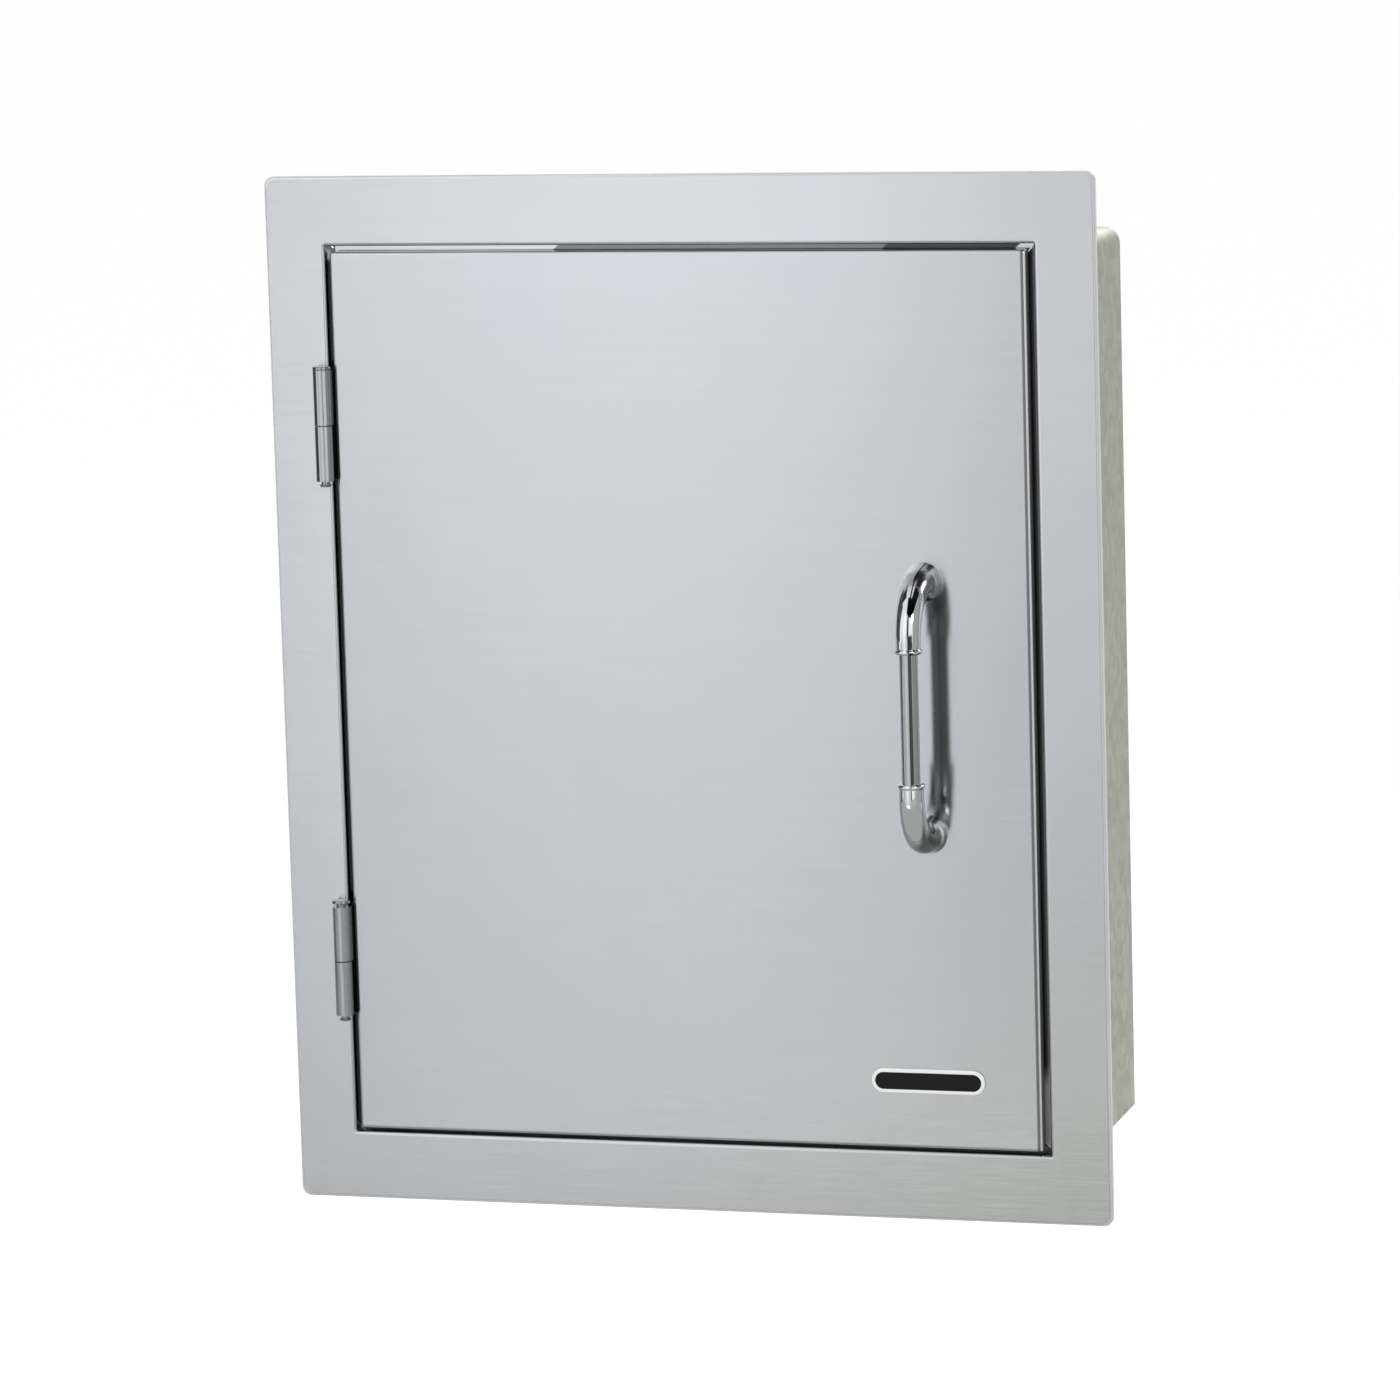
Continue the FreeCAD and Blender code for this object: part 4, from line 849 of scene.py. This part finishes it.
class ACCESSDOOR_OT_door_panel(Operator):
    """Finish the door's skin, its liner and the stiffeners between them"""

    bl_idname = "accessdoor.door_panel"
    bl_label = "Door panel"

    def execute(self, context):
        steel = context.scene.door_steel
        grain = (steel.grain_spacing, steel.grain_length)
        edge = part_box("door_skin")[1][0]
        skin = brushed_steel(
            "Door stainless", steel.door_colour, steel.roughness, steel.anisotropy, grain,
            SHEET_CONTRAST, border=self.latch_highlight(edge), border_and_highlight_tone=LATCH_HIGHLIGHT_TONE, light_and_dapple=DOOR_DAPPLE,
        )
        # Painted reflection: a dark line just inside the latch side's bend; painted shade on faces turned
        # to the latch side
        fold_reflection = [("place X", edge - start, edge - full) for start, full in FOLD_REFLECTION_SPANS]
        shade_patches(skin, [(FOLD_REFLECTION_SHARE, fold_reflection), LATCH_SIDE_SHADE])
        liner = brushed_steel("Liner stainless", steel.liner_colour, 0.36, 0.6, grain, 0.07)
        plated = plain_metal("Plated steel", context.scene.door_inside.plated_colour, 0.38)
        paint(["door_skin"], skin)
        paint(["door_liner"], liner)
        paint(["door_stiffener_upper", "door_stiffener_lower", "handle_backing_plate"], plated)
        paint(["handle_spacers", "strike_plate", "catch_bracket", "catch_pole_plates"], plated)
        return {"FINISHED"}

    def latch_highlight(self, edge):
        """Border of the skin at its latch side only, a painted highlight line: the other sides lie far
        outside the door.
        """
        far = 1.0
        return {"Centre": edge - far, "Half Width": far, "Half Height": far, **LATCH_HIGHLIGHT_STRIP}


class ACCESSDOOR_OT_handle(Operator):
    """Cast the two flared elbows with their collars and turn the rod between them"""

    bl_idname = "accessdoor.handle"
    bl_label = "Handle"

    def execute(self, context):
        settings = context.scene.door_handle
        plating = chrome("Handle chrome", settings.chrome_colour, settings.back_shading)
        # Painted shade and painted reflections on the elbows and the rod
        shade_patches(plating, ELBOW_PAINTED_SHADE)
        satin = plain_metal("Rod satin", settings.rod_colour, 0.12, 0.04, 400.0, settings.rod_shading)
        shade_patches(satin, ROD_PAINTED_SHADE)
        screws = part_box("handle_screws")
        head_radius = (screws[1][0] - screws[0][0]) / 2
        for level, sign, inner, outer in (("upper", 1, 0, 1), ("lower", -1, 1, 0)):
            node = f"handle_elbow_{level}"
            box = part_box(node)
            foot = Vector((middle(node)[0], box[1][1], screws[outer][2] - sign * head_radius))
            elbow = self.elbow(f"{node}_cast", foot, box[inner][2], sign, settings)
            finish_piece(elbow, "door", plating, [node])
        low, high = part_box("handle_rod")
        length = high[2] - low[2]
        radius = settings.rod_radius
        soft = radius - ROD_EDGE
        profile = [(0.0, soft), (ROD_EDGE, radius), (length - ROD_EDGE, radius), (length, soft)]
        origin = (*middle("handle_rod")[:2], low[2])
        rod = turned("handle_rod_bar", profile, origin, settings.segments)
        finish_piece(rod, "door", satin, ["handle_rod"])
        return {"FINISHED"}

    def elbow(self, name, foot, collar_end, sign, settings):
        """A flared tube from the foot on the door round the bend to the collar's hollow mouth."""
        bend = settings.bend_radius
        lead = settings.standoff - bend
        arc = bend * math.pi / 2
        total = lead + arc + abs(foot.z - collar_end) - bend
        bead = settings.collar_length
        neck = total - bead
        side = Vector((1, 0, 0))
        stations = []

        def station(travel, radius):
            """A ring round the centre line, at a distance along it from the door."""
            angle = min(max((travel - lead) / bend, 0.0), math.pi / 2)
            reach = min(travel, lead) + bend * math.sin(angle)
            fall = bend * (1 - math.cos(angle)) + max(travel - lead - arc, 0.0)
            direction = Vector((0, -math.cos(angle), -sign * math.sin(angle)))
            place = foot + Vector((0, -reach, -sign * fall))
            stations.append((place, side, direction.cross(side), radius))

        def flared(travel):
            flare = settings.foot_radius - settings.elbow_radius
            return settings.elbow_radius + flare * math.exp(-travel / settings.flare_length)

        station(0.0, flared(0.0))
        for start, end, steps in ((0.0, lead, 6), (lead, lead + arc, 36), (lead + arc, neck, 4)):
            for step in range(1, steps + 1):
                travel = start + (end - start) * step / steps
                station(travel, flared(travel))
        bead_low = settings.elbow_radius + settings.collar_rise - bead / 2
        for step in range(BEAD_STEPS + 1):
            angle = math.pi * step / BEAD_STEPS
            least = flared(neck) if step < BEAD_STEPS / 2 else 0.0
            radius = max(least, bead_low + bead / 2 * math.sin(angle))
            station(neck + bead / 2 * (1 - math.cos(angle)), radius)
        for travel in (total, total - MOUTH_DEPTH):
            station(travel, settings.rod_radius + MOUTH_GAP)
        mesh_data = bmesh.new()
        tube(mesh_data, stations, settings.segments)
        return piece_from(name, mesh_data, 50.0)


class ACCESSDOOR_OT_hinges(Operator):
    """Finish the hinge leaves and turn the pins"""

    bl_idname = "accessdoor.hinges"
    bl_label = "Hinges"

    def execute(self, context):
        settings = context.scene.door_hinge
        # Painted shade on the barrels' backs, and a dark joint line
        leaf = brushed_steel(
            "Hinge stainless", settings.leaf_colour, 0.15, 0.3, (0.0006, 0.02), 0.03,
            upright=1.0, shade=BARREL_SHADE,
        )
        paint([name for name in NODES if "_leaf_" in name], leaf)
        steel = plain_metal("Pin steel", settings.pin_colour, 0.14, 0.10, 500.0)
        for level in ("upper", "lower"):
            self.pin(level, steel)
        return {"FINISHED"}

    def pin(self, level, material):
        """A pin with a domed head over the barrel and a necked tip below it."""
        node = f"hinge_pin_{level}"
        low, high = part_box(node)
        head = (high[0] - low[0]) / 2
        neck = head * 0.45
        tip = head * 0.64
        shank = head * 0.53
        soft = PIN_SOFT_EDGE
        corner = soft * 1.5
        total = high[2] - low[2]
        under = total - PIN_HEAD_HEIGHT
        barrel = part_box(f"hinge_frame_leaf_{level}")[0][2] - low[2]
        profile = [(0.0, tip - 2 * soft), (soft * 0.4, tip - soft), (soft, tip - soft * 0.3)]
        profile += [(soft * 1.6, tip), (PIN_TIP_HEIGHT - soft * 0.3, tip)]
        profile += [(PIN_TIP_HEIGHT, tip - soft * 0.4), (PIN_TIP_HEIGHT + soft * 0.3, neck)]
        profile += [(barrel - soft, neck), (barrel, shank), (under, shank)]
        profile += [(under, head - soft * 0.5), (under + soft * 0.5, head)]
        corner_steps = 5
        for step in range(corner_steps + 1):
            angle = math.pi / 2 * step / corner_steps
            rise = corner * (math.sin(angle) - 1)
            profile.append((total + rise, head - corner * (1 - math.cos(angle))))
        profile.append((total, head * 0.3))
        origin = (*middle(node)[:2], low[2])
        piece = turned(f"{node}_turned", profile, origin, PIN_SEGMENTS)
        finish_piece(piece, "frame", material, [node])


def cross_recess_shade(mesh_data, centre, axis):
    """A low dark cross of painted shade that reads as a screw's recess."""
    axis, side, up = axes_round(axis)
    half = RECESS_WIDTH / 2
    reach = RECESS_SPAN / 2
    outline = []
    corners = [(reach, half), (half, half), (half, reach)]
    for quarter in range(4):
        outline += corners
        corners = [(-second, first) for first, second in corners]
    rings = []
    for depth, share in ((-RECESS_RISE, 1.0), (RECESS_WIDTH, RECESS_TAPER)):
        base = Vector(centre) - axis * depth
        places = [base + (side * first + up * second) * share for first, second in outline]
        rings.append([mesh_data.verts.new(place) for place in places])
    bridge(mesh_data, *rings)
    for ring in rings:
        mesh_data.faces.new(ring)


class ACCESSDOOR_OT_screws(Operator):
    """Finish the screws, washers and rivets, and make the painted-shade crosses for the recesses of the
    hinges' screws
    """

    bl_idname = "accessdoor.screws"
    bl_label = "Screws"

    def execute(self, context):
        settings = context.scene.door_hinge
        bright = plain_metal("Bright screws", settings.screw_colour, 0.25, 0.06, 600.0)
        dark = plain_metal("Screw recess shade", settings.recess_shade_colour, 0.5, 0.2, 600.0)
        names = ["hinge_frame_screws", "hinge_door_screws", "handle_screws", "handle_washers"]
        paint(names + ["catch_screws", "strike_rivets"], bright)
        self.recess_shades("hinge_frame_screws", "frame", 1, dark)
        self.recess_shades("hinge_door_screws", "door", -1, dark)
        return {"FINISHED"}

    def recess_shades(self, node, body, sign, material):
        """Painted-shade crosses in the screw heads of both leaves on a body, which face along X."""
        mesh_data = bmesh.new()
        low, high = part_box(node)
        head_x = high[0] if sign > 0 else low[0]
        for level in ("upper", "lower"):
            centre_z = middle(f"hinge_{body}_leaf_{level}")[2]
            outer = (high[2] - low[2]) / 2 - SCREW_HEAD_RADIUS - abs(centre_z)
            for step in range(SCREWS_PER_LEAF):
                share = 2 * step / (SCREWS_PER_LEAF - 1) - 1
                centre = (head_x, (low[1] + high[1]) / 2, centre_z + outer * share)
                cross_recess_shade(mesh_data, centre, (sign, 0, 0))
        piece = piece_from(f"{node}_recesses", mesh_data)
        finish_piece(piece, body, material)


class ACCESSDOOR_OT_badge(Operator):
    """Finish the badge's pad, rim and enamel field"""

    bl_idname = "accessdoor.badge"
    bl_label = "Badge"

    def execute(self, context):
        settings = context.scene.door_badge
        # Rim near white and mostly matt: a bright rim with the softbox's reflection painted into its colour
        paint(["badge_plate"], chrome("Badge rim", settings.rim_and_reflection_colour, metallic=0.15))
        paint(["badge_inlay"], plastic("Badge enamel", settings.field_colour, 0.16, 0.000002, 300.0, 0.12))
        paint(["badge_tape"], plastic("Badge foam", settings.foam_colour, 0.8, 0.00005, 1500.0))
        return {"FINISHED"}


class ACCESSDOOR_OT_inside(Operator):
    """Finish the magnetic catch and the rubber buffers"""

    bl_idname = "accessdoor.inside"
    bl_label = "Catch and buffers"

    def execute(self, context):
        settings = context.scene.door_inside
        paint(["catch_housing"], plastic("Catch plastic", settings.plastic_colour, 0.5, 0.00002, 1200.0))
        paint(["catch_magnet"], plastic("Catch ferrite", settings.magnet_colour, 0.55, 0.00003, 900.0))
        paint(["rubber_buffers"], plastic("Buffer rubber", settings.rubber_colour, 0.7, 0.00004, 1500.0))
        return {"FINISHED"}


class ACCESSDOOR_OT_stage(Operator):
    """Set up the floor, the studio light and the camera"""

    bl_idname = "accessdoor.stage"
    bl_label = "Stage"

    def execute(self, context):
        settings = context.scene.door_stage
        self.floor(settings)
        self.world(context, settings)
        self.lamps()
        self.cards()
        self.front_softbox()
        self.camera(context, settings)
        context.scene.view_settings.view_transform = "Standard"
        return {"FINISHED"}

    def panel(self, name, size, place, facing):
        """A flat card that faces a point."""
        mesh_data = bmesh.new()
        bmesh.ops.create_grid(mesh_data, x_segments=1, y_segments=1, size=0.5)
        bmesh.ops.scale(mesh_data, vec=(*size, 1), verts=mesh_data.verts[:])
        card = object_from(name, mesh_data)
        card.location = place
        card.rotation_euler = (Vector(facing) - Vector(place)).to_track_quat("Z", "Y").to_euler()
        return card

    def floor(self, settings):
        material, tree, shader = new_material("Studio floor")
        set_shader(shader, base_color=FLOOR_COLOUR, roughness=0.9, specular_ior_level=0.0)
        strength = self.seen_directly(tree) * settings.floor_glow
        glow = new_value(tree, "ShaderNodeEmission", {"Color": WHITE, "Strength": strength})
        both = new_value(tree, "ShaderNodeAddShader", {0: Value(shader.outputs[0]), 1: glow})
        put(tree.nodes["Material Output"].inputs["Surface"], both)
        level = CAD_BOX[0][2] - settings.floor_drop
        floor = self.panel("studio_floor", (FLOOR_SIZE, FLOOR_SIZE), (0, 0, level), (0, 0, level + 1))
        floor.data.materials.append(material)

    def seen_directly(self, tree):
        """1 for camera, glossy and transmission rays."""
        path = add(tree, "ShaderNodeLightPath", {}).outputs
        direct = Value(path["Is Camera Ray"]).highest(Value(path["Is Glossy Ray"]))
        return direct.highest(Value(path["Is Transmission Ray"]))

    def world(self, context, settings):
        world = bpy.data.worlds.new("Studio")
        world.use_nodes = True
        tree = world.node_tree
        room = tree.nodes["Background"]
        set_shader(room, color=WHITE, strength=settings.room_light)
        white = new_value(tree, "ShaderNodeBackground", {"Color": WHITE, "Strength": settings.white})
        values = {0: self.seen_directly(tree), 1: Value(room.outputs[0]), 2: white}
        mixed = new_value(tree, "ShaderNodeMixShader", values)
        put(tree.nodes["World Output"].inputs["Surface"], mixed)
        context.scene.world = world

    def lamps(self):
        for name, place, size, power in LAMPS:
            data = bpy.data.lights.new(name, "AREA")
            data.shape = "SQUARE"
            data.size = size
            data.energy = power
            lamp = bpy.data.objects.new(name, data)
            lamp.location = place
            lamp.rotation_euler = (-Vector(place)).to_track_quat("-Z", "Y").to_euler()
            bpy.context.scene.collection.objects.link(lamp)

    def light_up(self, card, name, tone):
        """Makes a card glow, seen in reflections only. Returns its emission node."""
        material, tree, shader = new_material(name)
        tree.nodes.remove(shader)
        glow = add(tree, "ShaderNodeEmission", {"Color": tone})
        put(tree.nodes["Material Output"].inputs["Surface"], Value(glow.outputs[0]))
        card.data.materials.append(material)
        card.visible_camera = False
        card.visible_shadow = False
        card.visible_diffuse = False
        return glow

    def cards(self):
        """Cards that the bright metal mirrors as its dark and light lines."""
        for name, (turn_from, turn_to), heights, away, tone in CARDS:
            mesh_data = bmesh.new()
            columns = []
            for step in range(CARD_STEPS + 1):
                angle = math.radians(turn_from + (turn_to - turn_from) * step / CARD_STEPS)
                x, y = math.sin(angle) * away, -math.cos(angle) * away
                columns.append([mesh_data.verts.new((x, y, height)) for height in heights])
            for first, second in zip(columns, columns[1:]):
                mesh_data.faces.new((first[0], second[0], second[1], first[1]))
            self.light_up(piece_from(f"card_{name}", mesh_data), f"Card {name}", tone)
        for name, width, height, place, tone in FLAT_CARDS:
            towards = (place[0], place[1], place[2] - math.copysign(1, place[2]))
            card = self.panel(f"card_{name}", (width, height), place, towards)
            self.light_up(card, f"Card {name}", tone)

    def front_softbox(self):
        """The big softbox that the door's face mirrors: bright above, duller low and aside."""
        card = self.panel("front_softbox", SOFTBOX_SIZE, SOFTBOX_PLACE, SOFTBOX_AIM)
        glow = self.light_up(card, "Front softbox", WHITE)
        x, y, _ = coordinate(glow.id_data).split()
        height = y.spread(*SOFTBOX_RISE) ** SOFTBOX_CURVE
        aside = x.spread(*SOFTBOX_RUN) * 2.0 - 1.0
        put(glow.inputs["Color"], height.mix(SOFTBOX_LOW, SOFTBOX_HIGH))
        put(glow.inputs["Strength"], aside * aside * -SOFTBOX_LOSS + 1.0 - aside * SOFTBOX_LEAN)

    def camera(self, context, settings):
        """The photograph's camera: turned round the flange's centre and set back from it."""
        data = bpy.data.cameras.new("Photo camera")
        data.sensor_width = SENSOR_MM
        data.lens = SENSOR_MM * settings.focal_pixels / PHOTO_PIXELS
        camera = bpy.data.objects.new("Photo camera", data)
        turn = Matrix.Rotation(settings.view_turn, 4, "Z")
        tilt = Matrix.Rotation(math.pi / 2 - settings.view_tilt, 4, "X")
        roll = Matrix.Rotation(settings.view_roll, 4, "Z")
        flange = Matrix.Translation((0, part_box("face_frame")[0][1], 0))
        back = (-settings.view_aside, -settings.view_above, settings.view_distance)
        camera.matrix_world = flange @ turn @ tilt @ roll @ Matrix.Translation(back)
        context.scene.collection.objects.link(camera)
        context.scene.camera = camera


class ACCESSDOOR_PT_panel(Panel):
    """Lists the steps of the access door"""

    bl_label = "Access Door"
    bl_idname = "ACCESSDOOR_PT_panel"
    bl_space_type = "VIEW_3D"
    bl_region_type = "UI"
    bl_category = "Access Door"

    def draw(self, context):
        for operator in OPERATORS:
            self.layout.operator(operator.bl_idname)


SETTINGS = {
    "door_steel": SteelSettings,
    "door_sleeve": SleeveSettings,
    "door_handle": HandleSettings,
    "door_hinge": HingeSettings,
    "door_badge": BadgeSettings,
    "door_inside": InsideSettings,
    "door_stage": StageSettings,
}

OPERATORS = [
    ACCESSDOOR_OT_face_frame,
    ACCESSDOOR_OT_sleeve,
    ACCESSDOOR_OT_door_panel,
    ACCESSDOOR_OT_handle,
    ACCESSDOOR_OT_hinges,
    ACCESSDOOR_OT_screws,
    ACCESSDOOR_OT_badge,
    ACCESSDOOR_OT_inside,
    ACCESSDOOR_OT_stage,
]

CLASSES = [*SETTINGS.values(), *OPERATORS, ACCESSDOOR_PT_panel]


def register():
    for item in CLASSES:
        bpy.utils.register_class(item)
    for name, group in SETTINGS.items():
        setattr(bpy.types.Scene, name, PointerProperty(type=group))


def unregister():
    for name in SETTINGS:
        delattr(bpy.types.Scene, name)
    for item in reversed(CLASSES):
        bpy.utils.unregister_class(item)


def main():
    register()
    bpy.ops.accessdoor.face_frame()
    bpy.ops.accessdoor.sleeve()
    bpy.ops.accessdoor.door_panel()
    bpy.ops.accessdoor.handle()
    bpy.ops.accessdoor.hinges()
    bpy.ops.accessdoor.screws()
    bpy.ops.accessdoor.badge()
    bpy.ops.accessdoor.inside()
    bpy.ops.accessdoor.stage()


if __name__ == "__main__":
    main()
